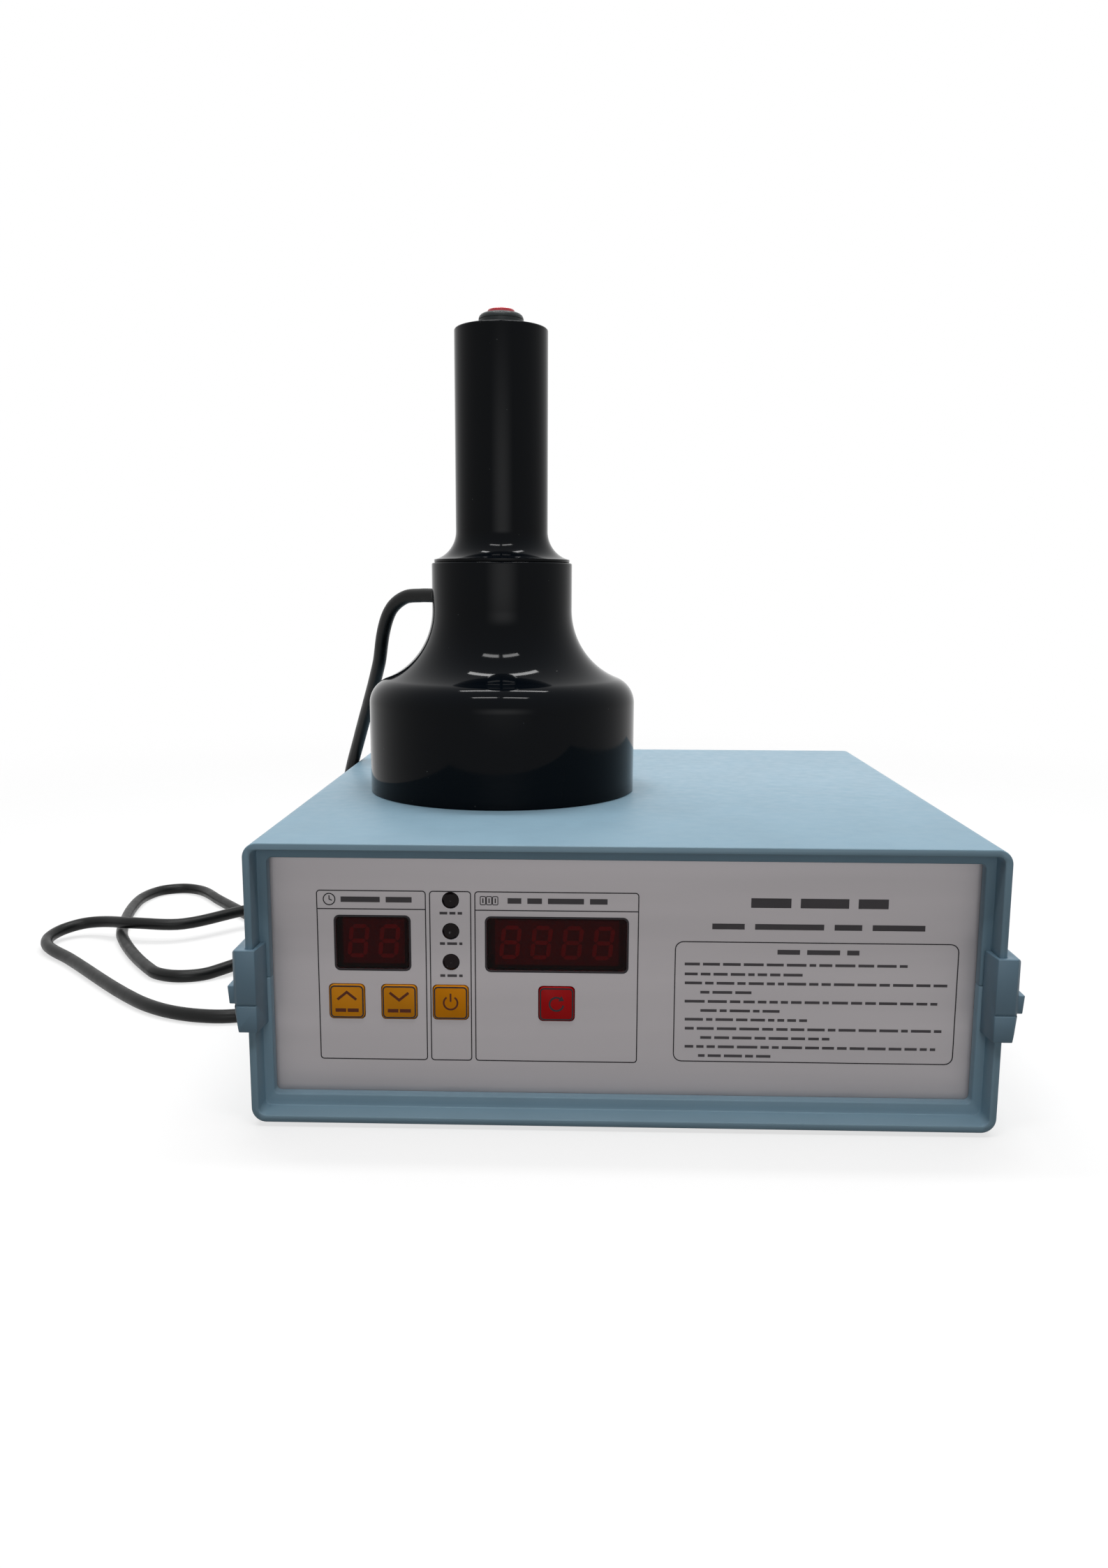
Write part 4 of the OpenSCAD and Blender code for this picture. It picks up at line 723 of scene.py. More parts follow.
@dataclass
class HeadCable:
    """The lead from the sealing head's neck to the gland at the back of the case."""

    diameter: float = 7 * MM
    length: float = 1.41
    clear: float = 0.3 * MM
    lead: float = 9 * MM
    reach: float = 38 * MM
    outlet_turn: float = 25.0
    round_steps: int = 6
    run_steps: int = 8
    route_mm: tuple[Point, ...] = (
        (-108.5, 19, 212), (-116.5, 24.5, 206), (-122, 32, 194.5), (-127, 43.5, 176), (-147, 87, 130),
        (-157, 106, 104), (-162, 109, 72), (-165, 105, 42), (-173, 96, 21), (-188, 80, 11),
        (-224, 41, 3.8), (-241, 34, 3.6), (-258, 42, 3.6), (-299, 104, 3.6), (-314, 148, 3.6),
        (-322, 187, 3.6), (-322, 207, 3.6), (-316, 222, 3.6), (-302, 228, 3.6), (-287, 221, 3.6),
        (-268, 197, 3.6), (-200, 112, 3.6), (-175, 70, 3.6), (-162, 28, 3.6), (-168, -6, 3.6),
        (-190, -26, 3.6), (-220, -24, 3.6), (-250, -5, 3.6), (-314, 62, 3.8), (-335, 82, 4.4),
        (-342, 96, 5.2), (-340, 110, 6.6), (-330, 119, 8.4), (-316, 118.5, 10), (-294, 110, 11.8),
        (-264, 112, 11), (-229, 145, 11.8), (-190, 176, 5.8), (-152, 190, 5.4), (-130, 185, 13),
        (-120, 168.5, 23.5),
    )

    def build(self) -> None:
        points = self.route()
        data = bpy.data.curves.new("head_lead", "CURVE")
        data.dimensions = "3D"
        data.bevel_depth = self.diameter / 2
        data.bevel_resolution = self.round_steps
        data.resolution_u = self.run_steps
        data.use_fill_caps = True
        spline = data.splines.new("BEZIER")
        spline.bezier_points.add(len(points) - 1)
        for i, knot in enumerate(spline.bezier_points):
            here = points[i]
            before = points[i - 1] if i else 2 * here - points[1]
            after = points[i + 1] if i + 1 < len(points) else 2 * here - points[i - 1]
            near, far = (here - before).length, (after - here).length
            heading = (after - before) / (near + far)
            knot.co = here
            knot.handle_left_type = knot.handle_right_type = "FREE"
            knot.handle_left = here - heading * near / 3
            knot.handle_right = here + heading * far / 3
        cable = SHEATH.dress(new_piece("head_lead", data))
        enrol(cable, Body.CASE, Slot.SHEATH, "head_cable")

    def route(self) -> list[Vector]:
        """Gives the points that the lead runs through.

        Returns:
            The points, from the bush on the neck to the gland.
        """
        bush_low, bush_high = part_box("neck_bush")
        gland_low, gland_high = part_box("rear_gland")
        head_low, head_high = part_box("head_bell")
        turn = math.radians(self.outlet_turn)
        outward = Vector((-math.cos(turn), math.sin(turn), 0))
        axis = Vector(((head_low.x + head_high.x) / 2, (head_low.y + head_high.y) / 2, 0))
        outlet = axis + self.reach * outward
        outlet.z = (bush_low.z + bush_high.z) / 2
        middle = (gland_low + gland_high) / 2
        inlet = Vector((middle.x, gland_high.y, middle.z))
        start = [outlet + step * outward for step in (self.clear, self.lead)]
        finish = [inlet + Vector((0, step, 0)) for step in (self.lead, self.clear)]
        return start + [Vector(point) * MM for point in self.route_mm] + finish


class FlatMarks:
    """Flat marks on an upright face, each a thin closed solid of ink drawn in X and Z."""

    RING_STEPS = 40
    SHARPEST = 0.3

    def __init__(self, face: float, height: float = 60 * MICRON, sink: float = 10 * MICRON) -> None:
        """Starts an empty drawing on a face that looks along -Y.

        Args:
            face: Y of the face.
            height: How far the ink stands proud of it.
            sink: How far the ink's back lies inside it.
        """
        self.shape = bmesh.new()
        self.front = face - height
        self.back = face + sink

    def corners(self, line: list[Flat]) -> list[tuple[bmesh.types.BMVert, bmesh.types.BMVert]]:
        """Makes and returns a front and a back corner for each point of a line in X and Z."""
        make = self.shape.verts.new
        return [(make((x, self.front, z)), make((x, self.back, z))) for x, z in line]

    def fill(self, outline: list[Flat]) -> None:
        """Draws a filled shape from its outline."""
        pairs = self.corners(outline)
        self.shape.faces.new([front for front, _ in pairs])
        self.shape.faces.new([back for _, back in reversed(pairs)])
        for (a, b), (c, d) in zip(pairs, pairs[1:] + pairs[:1]):
            self.shape.faces.new((a, b, d, c))

    def band(self, outer: list[Flat], inner: list[Flat], closed: bool) -> None:
        """Draws a band between two lines.

        Args:
            outer: One edge of the band.
            inner: Its other edge, with as many points.
            closed: Whether the band meets itself.
        """
        ribs = [(*a, *b) for a, b in zip(self.corners(outer), self.corners(inner))]
        following = ribs[1:] + ribs[:1] if closed else ribs[1:]
        for near, far in zip(ribs, following):
            for i, j in ((0, 1), (1, 3), (3, 2), (2, 0)):
                self.shape.faces.new((near[i], near[j], far[j], far[i]))
        if not closed:
            for a, b, c, d in (ribs[0], ribs[-1]):
                self.shape.faces.new((a, b, d, c))

    @staticmethod
    def rounded(low: Flat, high: Flat, radius: float, steps: int = 5) -> list[Flat]:
        """Gives the outline of a rectangle with round corners.

        Args:
            low: Its lower left corner.
            high: Its upper right corner.
            radius: Radius of its corners.
            steps: Steps in each corner.

        Returns:
            The outline's points.
        """
        middles = (
            (high[0] - radius, high[1] - radius), (low[0] + radius, high[1] - radius),
            (low[0] + radius, low[1] + radius), (high[0] - radius, low[1] + radius),
        )
        return [p for i, middle in enumerate(middles) for p in arc(middle, radius, 90 * i, 90 * i + 90, steps)]

    def bar(self, low: Flat, high: Flat, radius: float = 0.1 * MM) -> None:
        """Draws a filled bar with round corners."""
        self.fill(self.rounded(low, high, radius, 3))

    def frame(self, low: Flat, high: Flat, radius: float, line: float) -> None:
        """Draws a rounded frame.

        Args:
            low: Its lower left corner.
            high: Its upper right corner.
            radius: Outer radius of its corners.
            line: Width of its line.
        """
        inner_low = (low[0] + line, low[1] + line)
        inner_high = (high[0] - line, high[1] - line)
        self.band(self.rounded(low, high, radius), self.rounded(inner_low, inner_high, radius - line), True)

    def ring(self, middle: Flat, radius: float, line: float, start: float = 0.0, stop: float = 360.0) -> None:
        """Draws a ring or a part of one.

        Args:
            middle: Its centre.
            radius: Its outer radius.
            line: Width of its line.
            start: First angle in degrees.
            stop: Last angle in degrees.
        """
        whole = stop - start >= 360
        cut = -1 if whole else None
        outer, inner = (arc(middle, r, start, stop, self.RING_STEPS)[:cut] for r in (radius, radius - line))
        self.band(outer, inner, whole)

    def stroke(self, points: list[Flat], width: float) -> None:
        """Draws a bent line of even width with sharp corners.

        Args:
            points: Points along its middle.
            width: Its width.
        """
        path = [Vector(point) for point in points]
        left, right = [], []
        for i, here in enumerate(path):
            before = (here - path[i - 1]).normalized() if i else (path[1] - here).normalized()
            after = (path[i + 1] - here).normalized() if i + 1 < len(path) else before
            mitre = (before + after).normalized()
            side = Vector((-mitre.y, mitre.x)) * width / 2 / max(self.SHARPEST, mitre.dot(after))
            left.append(tuple(here + side))
            right.append(tuple(here - side))
        self.band(left, right, False)

    def piece(self, name: str, finish: Finish) -> bpy.types.Object:
        """Turns the drawing into a piece.

        Args:
            name: The piece's name.
            finish: Its ink.

        Returns:
            The piece.
        """
        bmesh.ops.recalc_face_normals(self.shape, faces=self.shape.faces)
        return finish.dress(new_piece(name, mesh_of(name, self.shape)))


class Recipe(Graph):
    """A geometry node tree that puts a shape at each point, with named inputs."""

    def __init__(self, name: str) -> None:
        """Makes a tree with a geometry input.

        Args:
            name: The tree's name.
        """
        super().__init__(bpy.data.node_groups.new(name, "GeometryNodeTree"))
        for way in ("INPUT", "OUTPUT"):
            self.tree.interface.new_socket("Geometry", in_out=way, socket_type="NodeSocketGeometry")
        self.entry = self.add("NodeGroupInput")
        self.sockets: dict[str, str] = {}

    def input(self, name: str, kind: str) -> Socket:
        """Adds a named input.

        Args:
            name: What it is called.
            kind: Its type, such as Float or Object.

        Returns:
            The socket that carries its value.
        """
        made = self.tree.interface.new_socket(name, in_out="INPUT", socket_type="NodeSocket" + kind)
        self.sockets[name] = made.identifier
        return self.entry.outputs[name]

    def carried(self, name: str) -> Socket:
        """Reads a number that each point carries."""
        return self.add("GeometryNodeInputNamedAttribute", {"Name": name}).outputs["Attribute"]

    def helper(self, name: str) -> Socket:
        """Adds an object as a named input and gives its shape."""
        return self.add("GeometryNodeObjectInfo", {"Object": self.input(name, "Object")}).outputs["Geometry"]

    def vector(self, **parts: Socket) -> Socket:
        """Joins numbers for X, Y and Z into a vector."""
        return self.add("ShaderNodeCombineXYZ", parts).outputs["Vector"]

    def place(self, shape: Socket, **how: Socket) -> None:
        """Ends the tree with the shape at each point, made real and dressed.

        Args:
            shape: The shape to place.
            how: Its Rotation or its Scale.
        """
        start = {"Points": self.entry.outputs["Geometry"], "Instance": shape, **how}
        placed = self.add("GeometryNodeInstanceOnPoints", start).outputs["Instances"]
        real = self.add("GeometryNodeRealizeInstances", {"Geometry": placed}).outputs["Geometry"]
        finish = self.input("Finish", "Material")
        dressed = self.add("GeometryNodeSetMaterial", {"Geometry": real, "Material": finish})
        self.add("NodeGroupOutput", {"Geometry": dressed.outputs["Geometry"]})

    def bake(self, name: str, points: bpy.types.Mesh, finish: Finish, **values: object) -> bpy.types.Object:
        """Runs the tree on points and keeps the result as a plain mesh.

        Args:
            name: The new piece's name.
            points: Points that the tree starts from.
            finish: The piece's finish.
            values: The tree's inputs, by name.

        Returns:
            The piece.
        """
        piece = new_piece(name, points)
        modifier = piece.modifiers.new("recipe", "NODES")
        modifier.node_group = self.tree
        for key, value in {"Finish": finish.material(), **values}.items():
            modifier[self.sockets[key]] = value
        keep_result(piece, modifier)
        return piece


@dataclass
class Moulding:
    """A CAD node copied with the edge radii that its mould leaves."""

    node: str
    finish: Finish
    body: Body
    slot: Slot
    edge: float
    steps: int = 2
    sharp: float = 40.0
    flat: float = 1.0
    weld: float = 2 * MICRON

    def build(self) -> None:
        """Merges a copy of the node, rounds its edges and lets it stand for the node."""
        name = self.node + "_moulding"
        shape = bmesh.new()
        shape.from_mesh(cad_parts[self.node].data)
        bmesh.ops.remove_doubles(shape, verts=shape.verts, dist=self.weld)
        flat = math.radians(self.flat)
        bmesh.ops.dissolve_limit(shape, angle_limit=flat, verts=shape.verts, edges=shape.edges)
        piece = new_piece(name, mesh_of(name, shape))
        bevel = piece.modifiers.new("edges", "BEVEL")
        bevel.width = self.edge
        bevel.segments = self.steps
        bevel.limit_method = "ANGLE"
        bevel.angle_limit = math.radians(self.sharp)
        bevel.use_clamp_overlap = False
        keep_result(piece, bevel)
        smooth(piece.data, self.sharp)
        enrol(self.finish.dress(piece), self.body, self.slot, self.node)


@dataclass
class Casing:
    """The moulded pieces: shells, clips, rear fittings, rocker and keys."""

    shell_edge: float = 0.5 * MM
    clip_edge: float = 0.4 * MM
    fitting_edge: float = 0.3 * MM
    key_edge: float = 0.25 * MM
    fittings: tuple[str, ...] = ("mains_inlet", "switch_frame", "fuse_cap", "rear_gland")

    def build(self) -> None:
        """Rounds the edges of all of them."""
        for node in NODE_FINISHES[CASE_PLASTIC]:
            Moulding(node, CASE_PLASTIC, Body.CASE, Slot.CASE, self.shell_edge).build()
        for node in NODE_FINISHES[CLIP_PLASTIC]:
            Moulding(node, CLIP_PLASTIC, Body.CASE, Slot.CLIP, self.clip_edge).build()
        for node in self.fittings:
            Moulding(node, SOFT_BLACK, Body.CASE, Slot.SOFT_BLACK, self.fitting_edge).build()
        Moulding("mains_rocker", SOFT_BLACK, Body.ROCKER, Slot.SOFT_BLACK, self.fitting_edge).build()
        for node, finish, body, slot in (
            ("key_up", KEY_AMBER, Body.UP_KEY, Slot.AMBER),
            ("key_down", KEY_AMBER, Body.DOWN_KEY, Slot.AMBER),
            ("key_level", KEY_ORANGE, Body.LEVEL_KEY, Slot.ORANGE),
            ("key_reset", KEY_RED, Body.RESET_KEY, Slot.RED),
        ):
            Moulding(node, finish, body, slot, self.key_edge).build()


@dataclass
class SealingHead:
    """The polished bell and handle, turned about one axis, with the trigger on top."""

    skirt_h: float = 43 * MM
    shoulder_r: float = 13 * MM
    flare_r: float = 36 * MM
    neck_r: float = 34.2 * MM
    neck_len: float = 22.2 * MM
    wall: float = 5.3 * MM
    edge_r: float = 0.8 * MM
    base_ledge: float = 7 * MM
    base_lip: float = 2.3 * MM
    grip_r: float = 22.3 * MM
    grip_len: float = 108.7 * MM
    grip_wall: float = 4 * MM
    grip_top: float = 5 * MM
    grip_edge_r: float = 1 * MM
    grip_hole_r: float = 6.2 * MM
    foot_r: float = 33 * MM
    foot_edge: float = 1.6 * MM
    foot_round: float = 0.6 * MM
    foot_flare_r: float = 14 * MM
    spigot: float = 7 * MM
    spigot_gap: float = 0.1 * MM
    bezel_r: float = 10.7 * MM
    bezel_h: float = 7.5 * MM
    bezel_hole_r: float = 6.1 * MM
    bezel_gap: float = 0.35 * MM
    bezel_floor: float = 1.2 * MM
    bezel_brow: float = 2.7 * MM
    bezel_drop: float = 0.5 * MM
    bezel_lip: float = 0.4 * MM
    bezel_groove_mm: tuple[Flat, ...] = ((0.0, 4.0), (-0.3, 4.1), (-0.3, 4.3))
    button_r: float = 6.4 * MM
    button_dome: float = 1.2 * MM
    button_skirt: float = 2.8 * MM
    button_brow: float = 0.5 * MM
    stem_r: float = 2.5 * MM
    head_steps: int = 144
    trigger_steps: int = 96
    axis: Vector = field(init=False)
    bell_r: float = field(init=False)
    shoulder: Flat = field(init=False)
    flare: Flat = field(init=False)
    blend: float = field(init=False)
    neck_h: float = field(init=False)
    grip_h: float = field(init=False)

    def __post_init__(self) -> None:
        """Takes the axis and the bell's radius from the frame, and finds where the arcs meet."""
        low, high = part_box("head_bell")
        self.axis = Vector(((low.x + high.x) / 2, (low.y + high.y) / 2, low.z))
        self.bell_r = (high.x - low.x) / 2
        self.shoulder = (self.bell_r - self.shoulder_r, self.skirt_h)
        across = self.neck_r + self.flare_r - self.shoulder[0]
        rise = math.sqrt((self.flare_r + self.shoulder_r) ** 2 - across**2)
        self.flare = (self.neck_r + self.flare_r, self.skirt_h + rise)
        self.blend = math.degrees(math.atan2(rise, across))
        self.neck_h = self.flare[1] + self.neck_len
        self.grip_h = self.neck_h + self.grip_len

    def build(self) -> None:
        """Makes the bell, the handle, the bezel and the button."""
        top = self.axis + Vector((0, 0, self.grip_h))
        head, trigger = (self.axis, self.head_steps), (top, self.trigger_steps)
        for node, outline, foot, finish, body, slot in (
            ("head_bell", self.bell_outline(), head, GLOSS_BLACK, Body.CASE, Slot.GLOSS_BLACK),
            ("head_handle", self.handle_outline(), head, GLOSS_BLACK, Body.CASE, Slot.GLOSS_BLACK),
            ("trigger_bezel", self.bezel_outline(), trigger, BEZEL_PLASTIC, Body.CASE, Slot.BEZEL),
            ("trigger_button", self.button_outline(), trigger, BUTTON_RED, Body.TRIGGER, Slot.BUTTON),
        ):
            enrol(finish.dress(turned(node + "_turned", outline, *foot)), body, slot, node)

    def bell_side(self, inset: float, steps: int) -> list[Flat]:
        """Gives the line over the shoulder and up the flare, at an inset from the bell's outer face."""
        shoulder = arc(self.shoulder, self.shoulder_r - inset, 0, self.blend, steps)
        return shoulder + arc(self.flare, self.flare_r + inset, 180 + self.blend, 180, 2 * steps)

    def bell_outline(self) -> list[Flat]:
        """Gives the bell's outline, outside and inside."""
        e = self.edge_r
        lip = self.bell_r - self.base_lip
        foot = arc((self.bell_r - e, e), e, -90, 0, 6)
        rim = arc((self.neck_r - e, self.neck_h - e), e, 0, 90, 6)
        inside = list(reversed(self.bell_side(self.wall, 8)))
        bore = (self.neck_r - self.wall, self.neck_h)
        base = [(self.bell_r - self.wall, self.base_ledge), (lip, self.base_ledge)]
        return [(lip, 0.0), *foot, *self.bell_side(0, 24), *rim, bore, *inside, *base]

    def handle_outline(self) -> list[Flat]:
        """Gives the handle's outline, with the spigot that sits in the neck."""
        fit = self.neck_r - self.wall - self.spigot_gap
        bore = self.grip_r - self.grip_wall
        hole, under = self.grip_hole_r, self.grip_h - self.grip_top
        low = self.neck_h - self.spigot
        swing = math.degrees(math.acos((self.grip_r + self.foot_flare_r - self.foot_r) / self.foot_flare_r))
        drop = self.foot_flare_r * math.sin(math.radians(swing))
        middle = (self.grip_r + self.foot_flare_r, self.neck_h + self.foot_edge + drop)
        e, f = self.grip_edge_r, self.foot_round
        return [
            (bore, low), (fit, low), (fit, self.neck_h),
            *arc((self.foot_r - f, self.neck_h + f), f, -90, 0, 6),
            *arc(middle, self.foot_flare_r, 180 + swing, 180, 32),
            *arc((self.grip_r - e, self.grip_h - e), e, 0, 90, 10),
            (hole, self.grip_h), (hole, under), (bore, under),
        ]

    def bezel_outline(self) -> list[Flat]:
        """Gives the bezel's outline: a collar with a ring line, and a round brow over it."""
        inner = self.button_r + self.bezel_gap
        outer, hole = self.bezel_r, self.bezel_hole_r
        brow, lip = self.bezel_brow, self.bezel_lip
        top = self.bezel_h - self.bezel_drop
        return [
            (hole, 0.0), (outer, 0.0), *[(outer + x * MM, z * MM) for x, z in self.bezel_groove_mm],
            *arc((outer - brow, top - brow), brow, 0, 90, 10),
            *arc((inner + lip, top - lip), lip, 90, 180, 4),
            (inner, self.bezel_floor), (hole, self.bezel_floor),
        ]

    def button_outline(self) -> list[Flat]:
        """Gives the button's outline with its stem and dome."""
        low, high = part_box("trigger_button")
        base = self.axis.z + self.grip_h
        top = high.z - base
        floor = self.bezel_h - self.button_skirt
        brow = self.button_brow
        dome = (self.button_r**2 + self.button_dome**2) / (2 * self.button_dome)
        start = math.degrees(math.acos((self.button_r - brow) / dome))
        edge = (self.button_r - brow, top - self.button_dome - brow / 2)
        return [
            (0.0, low.z - base), (self.stem_r, low.z - base), (self.stem_r, floor), (self.button_r, floor),
            *arc(edge, brow, 0, start, 4),
            *arc((0.0, top - dome), dome, start, 90, 14),
        ]


@dataclass(frozen=True)
class Words:
    """Plain bars in place of a block of words. Rows hold left end, right end and height. All in millimetres."""

    name: str
    rows: tuple[Point, ...]
    word: float
    height: float
    seed: int
    shortest: float = 0.45
    longest: float = 1.5
    least: float = 0.3
    gap: float = 0.22

    def points(self, face: float) -> bpy.types.Mesh:
        """Fills the rows with words of uneven length.

        Args:
            face: Y of the film.

        Returns:
            Points at the middles of the words, with each word's length.
        """
        chance = random.Random(self.seed)
        points, lengths = [], []
        for left, right, z in self.rows:
            while right - left > self.least * self.word:
                length = min(self.word * chance.uniform(self.shortest, self.longest), right - left)
                points.append(((left + length / 2) * MM, face, z * MM))
                lengths.append(length * MM)
                left += length + self.gap * self.word
        return points_mesh(self.name, points, length=lengths)


LAMP_X = -69.6
CAPTION_HALF = 4.6
ICON_Z = 91.8
NOTE_ROWS = (
    (25.6, 117.7, 66.2), (25.7, 73.5, 62.0), (25.8, 132.0, 58.2), (32.2, 54.3, 54.3), (25.9, 128.4, 50.4),
    (32.4, 65.9, 46.5), (26.1, 76.0, 42.7), (26.2, 132.6, 38.8), (32.6, 85.4, 34.9), (26.3, 128.6, 31.0),
    (31.9, 61.6, 27.1),
)
CAPTION_ROWS = tuple((LAMP_X - CAPTION_HALF, LAMP_X + CAPTION_HALF, z) for z in (86.4, 73.6, 60.0))
WORD_BLOCKS = (
    Words("note_words", NOTE_ROWS, 5.6, 1.15, 5),
    Words("heading_words", ((63.0, 96.0, 71.6),), 13.0, 2.0, 3),
    Words("title_words", ((51.8, 106.8, 92.0),), 17.0, 4.0, 12),
    Words("subtitle_words", ((36.4, 121.9, 82.1),), 19.0, 2.4, 8),
    Words("header_words", ((-114.5, -85.5, ICON_Z), (-46.5, -6.0, ICON_Z)), 11.0, 2.3, 2),
    Words("lamp_words", CAPTION_ROWS, 4.0, 1.1, 7),
)


@dataclass
class KeypadPanel:
    """What is printed on the front film and the keys, and the digits behind the windows.

    The film's blocks and rows are in millimetres in X and Z of the part's frame.
    """

    line: float = 0.45 * MM
    block_corner: float = 1.5 * MM
    note_corner: float = 3.5 * MM
    bottom: float = 23.4
    top: float = 95.7
    header: float = 87.8
    blocks: tuple[Flat, ...] = ((-124.5, -79.7), (-78.4, -61.3), (-60.0, 6.8))
    note_low: Flat = (21.5, 24.4)
    note_high: Flat = (136.0, 75.8)
    clock_x: float = -119.2
    clock_r: float = 2.6 * MM
    clock_hands: tuple[Flat, ...] = ((0.0, 0.62), (0.0, 0.0), (0.45, -0.2))
    counter_x: float = -54.0
    wheel_pitch: float = 2.5 * MM
    wheel_h: float = 3.8 * MM
    wheel_corner: float = 0.6 * MM
    wheel_line: float = 0.35 * MM
    wheel_mark: Flat = (0.25 * MM, 1.0 * MM)
    word_depth: float = 0.1 * MM
    window_lip: float = 1.5 * MM
    window_corner: float = 1.6 * MM
    window_line: float = 0.8 * MM
    key_size: float = 14.4 * MM
    key_inset: float = 0.3 * MM
    key_corner: float = 1.8 * MM
    key_line: float = 0.6 * MM
    key_line_ink: float = 30 * MICRON
    key_mark_ink: float = 40 * MICRON
    chevron_half: float = 3.9 * MM
    chevron_rise: float = 1.6 * MM
    chevron_up: float = 2.5 * MM
    chevron_line: float = 1.05 * MM
    caption_mm: tuple[Flat, ...] = ((-4.8, -0.4), (0.2, 4.8))
    caption_low: float = 4.4 * MM
    caption_high: float = 2.9 * MM
    sign_r: float = 3.2 * MM
    sign_line: float = 0.75 * MM
    power_arc: Flat = (125, 415)
    power_half: float = 0.37 * MM
    power_span: Flat = (0.5 * MM, 4.0 * MM)
    reset_arc: Flat = (60, 350)
    arrow_at: float = 0.88
    arrow_len: float = 1.9 * MM
    arrow_half: float = 1.3 * MM
    digit_h: float = 14.2 * MM
    digit_w: float = 8.2 * MM
    segment: float = 1.7 * MM
    segment_gap: float = 0.35 * MM
    segment_ink: float = 0.04 * MM
    slant: float = 6.0
    face: float = field(init=False)

    def __post_init__(self) -> None:
        """Takes the film's front from the frame."""
        self.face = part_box("panel_film")[0].y

    def build(self) -> None:
        """Prints the film, marks the keys and fits the digits."""
        self.print_frames()
        self.print_words()
        self.mark_chevron("key_up", Body.UP_KEY, 1)
        self.mark_chevron("key_down", Body.DOWN_KEY, -1)
        self.mark_power()
        self.mark_reset()
        self.fit_digits("time_display", 2)
        self.fit_digits("count_display", 4)

    def print_frames(self) -> None:
        """Prints the frames, header lines and icons."""
        marks = FlatMarks(self.face)
        for left, right in self.blocks:
            low, high = (left * MM, self.bottom * MM), (right * MM, self.top * MM)
            marks.frame(low, high, self.block_corner, self.line)
        for left, right in (self.blocks[0], self.blocks[2]):
            low = (left * MM + self.line, self.header * MM - self.line / 2)
            marks.bar(low, (right * MM - self.line, self.header * MM + self.line / 2))
        low, high = (tuple(v * MM for v in corner) for corner in (self.note_low, self.note_high))
        marks.frame(low, high, self.note_corner, self.line)
        self.draw_clock(marks, (self.clock_x * MM, ICON_Z * MM))
        self.draw_counter(marks, (self.counter_x * MM, ICON_Z * MM))
        for node in ("time_window", "count_window"):
            low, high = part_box(node)
            inset = self.window_lip - self.window_line
            marks.frame(
                (low.x + inset, low.z + inset), (high.x - inset, high.z - inset),
                self.window_corner + self.window_line, self.window_line,
            )
        enrol(marks.piece("panel_print", INK), Body.CASE, Slot.FILM)

    def draw_clock(self, marks: FlatMarks, middle: Flat) -> None:
        """Draws a clock for the sealing time.

        Args:
            marks: The drawing.
            middle: The icon's centre.
        """
        radius = self.clock_r
        marks.ring(middle, radius, self.line)
        x, z = middle
        marks.stroke([(x + across * radius, z + up * radius) for across, up in self.clock_hands], self.line)

    def draw_counter(self, marks: FlatMarks, middle: Flat) -> None:
        """Draws three number wheels for the counter.

        Args:
            marks: The drawing.
            middle: The icon's centre.
        """
        pitch, tall = self.wheel_pitch, self.wheel_h
        wide, long = self.wheel_mark
        for i in (-1, 0, 1):
            x, z = middle[0] + i * pitch, middle[1]
            low, high = (x - pitch / 2, z - tall / 2), (x + pitch / 2, z + tall / 2)
            marks.frame(low, high, self.wheel_corner, self.wheel_line)
            marks.bar((x - wide, z - long), (x + wide, z + long))

    def print_words(self) -> None:
        """Prints plain bars, each of its own length, where the film carries words."""
        recipe = Recipe("word bars")
        length = recipe.carried("length")
        height = recipe.input("Height", "Float")
        depth = recipe.input("Depth", "Float")
        bar = recipe.add("GeometryNodeMeshCube").outputs["Mesh"]
        recipe.place(bar, Scale=recipe.vector(X=length, Y=depth, Z=height))
        for words in WORD_BLOCKS:
            sizes = {"Height": words.height * MM, "Depth": self.word_depth}
            piece = recipe.bake(words.name, words.points(self.face), WORD_INK, **sizes)
            enrol(piece, Body.CASE, Slot.FILM)

    def outline_key(self, node: str, body: Body, slot: Slot) -> tuple[FlatMarks, Flat]:
        """Prints a dark line round a key and starts the drawing of its mark.

        Args:
            node: The key's CAD node.
            body: The key's body.
            slot: The key's slot.

        Returns:
            The drawing and the key's centre.
        """
        low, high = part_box(node)
        x, z = (low.x + high.x) / 2, (low.z + high.z) / 2
        half = self.key_size / 2 - self.key_inset
        outline = FlatMarks(low.y, self.key_line_ink)
        outline.frame((x - half, z - half), (x + half, z + half), self.key_corner, self.key_line)
        enrol(outline.piece(node + "_outline", INK), body, slot)
        return FlatMarks(low.y, self.key_mark_ink), (x, z)

    def mark_chevron(self, node: str, body: Body, way: int) -> None:
        """Marks a key with an open arrow head and two caption bars.

        Args:
            node: The key's CAD node.
            body: The key's body.
            way: 1 for an arrow up, -1 for an arrow down.
        """
        marks, (x, z) = self.outline_key(node, body, Slot.AMBER)
        half, rise = self.chevron_half, self.chevron_rise * way
        middle = z + self.chevron_up
        arrow = [(x - half, middle - rise), (x, middle + rise), (x + half, middle - rise)]
        marks.stroke(arrow, self.chevron_line)
        for left, right in self.caption_mm:
            marks.bar((x + left * MM, z - self.caption_low), (x + right * MM, z - self.caption_high))
        enrol(marks.piece(node + "_marks", KEY_INK), body, Slot.AMBER)

    def mark_power(self) -> None:
        """Marks the level key with the on and standby symbol."""
        marks, (x, z) = self.outline_key("key_level", Body.LEVEL_KEY, Slot.ORANGE)
        marks.ring((x, z), self.sign_r, self.sign_line, *self.power_arc)
        low, high = self.power_span
        marks.bar((x - self.power_half, z + low), (x + self.power_half, z + high))
        enrol(marks.piece("key_level_marks", KEY_INK), Body.LEVEL_KEY, Slot.ORANGE)

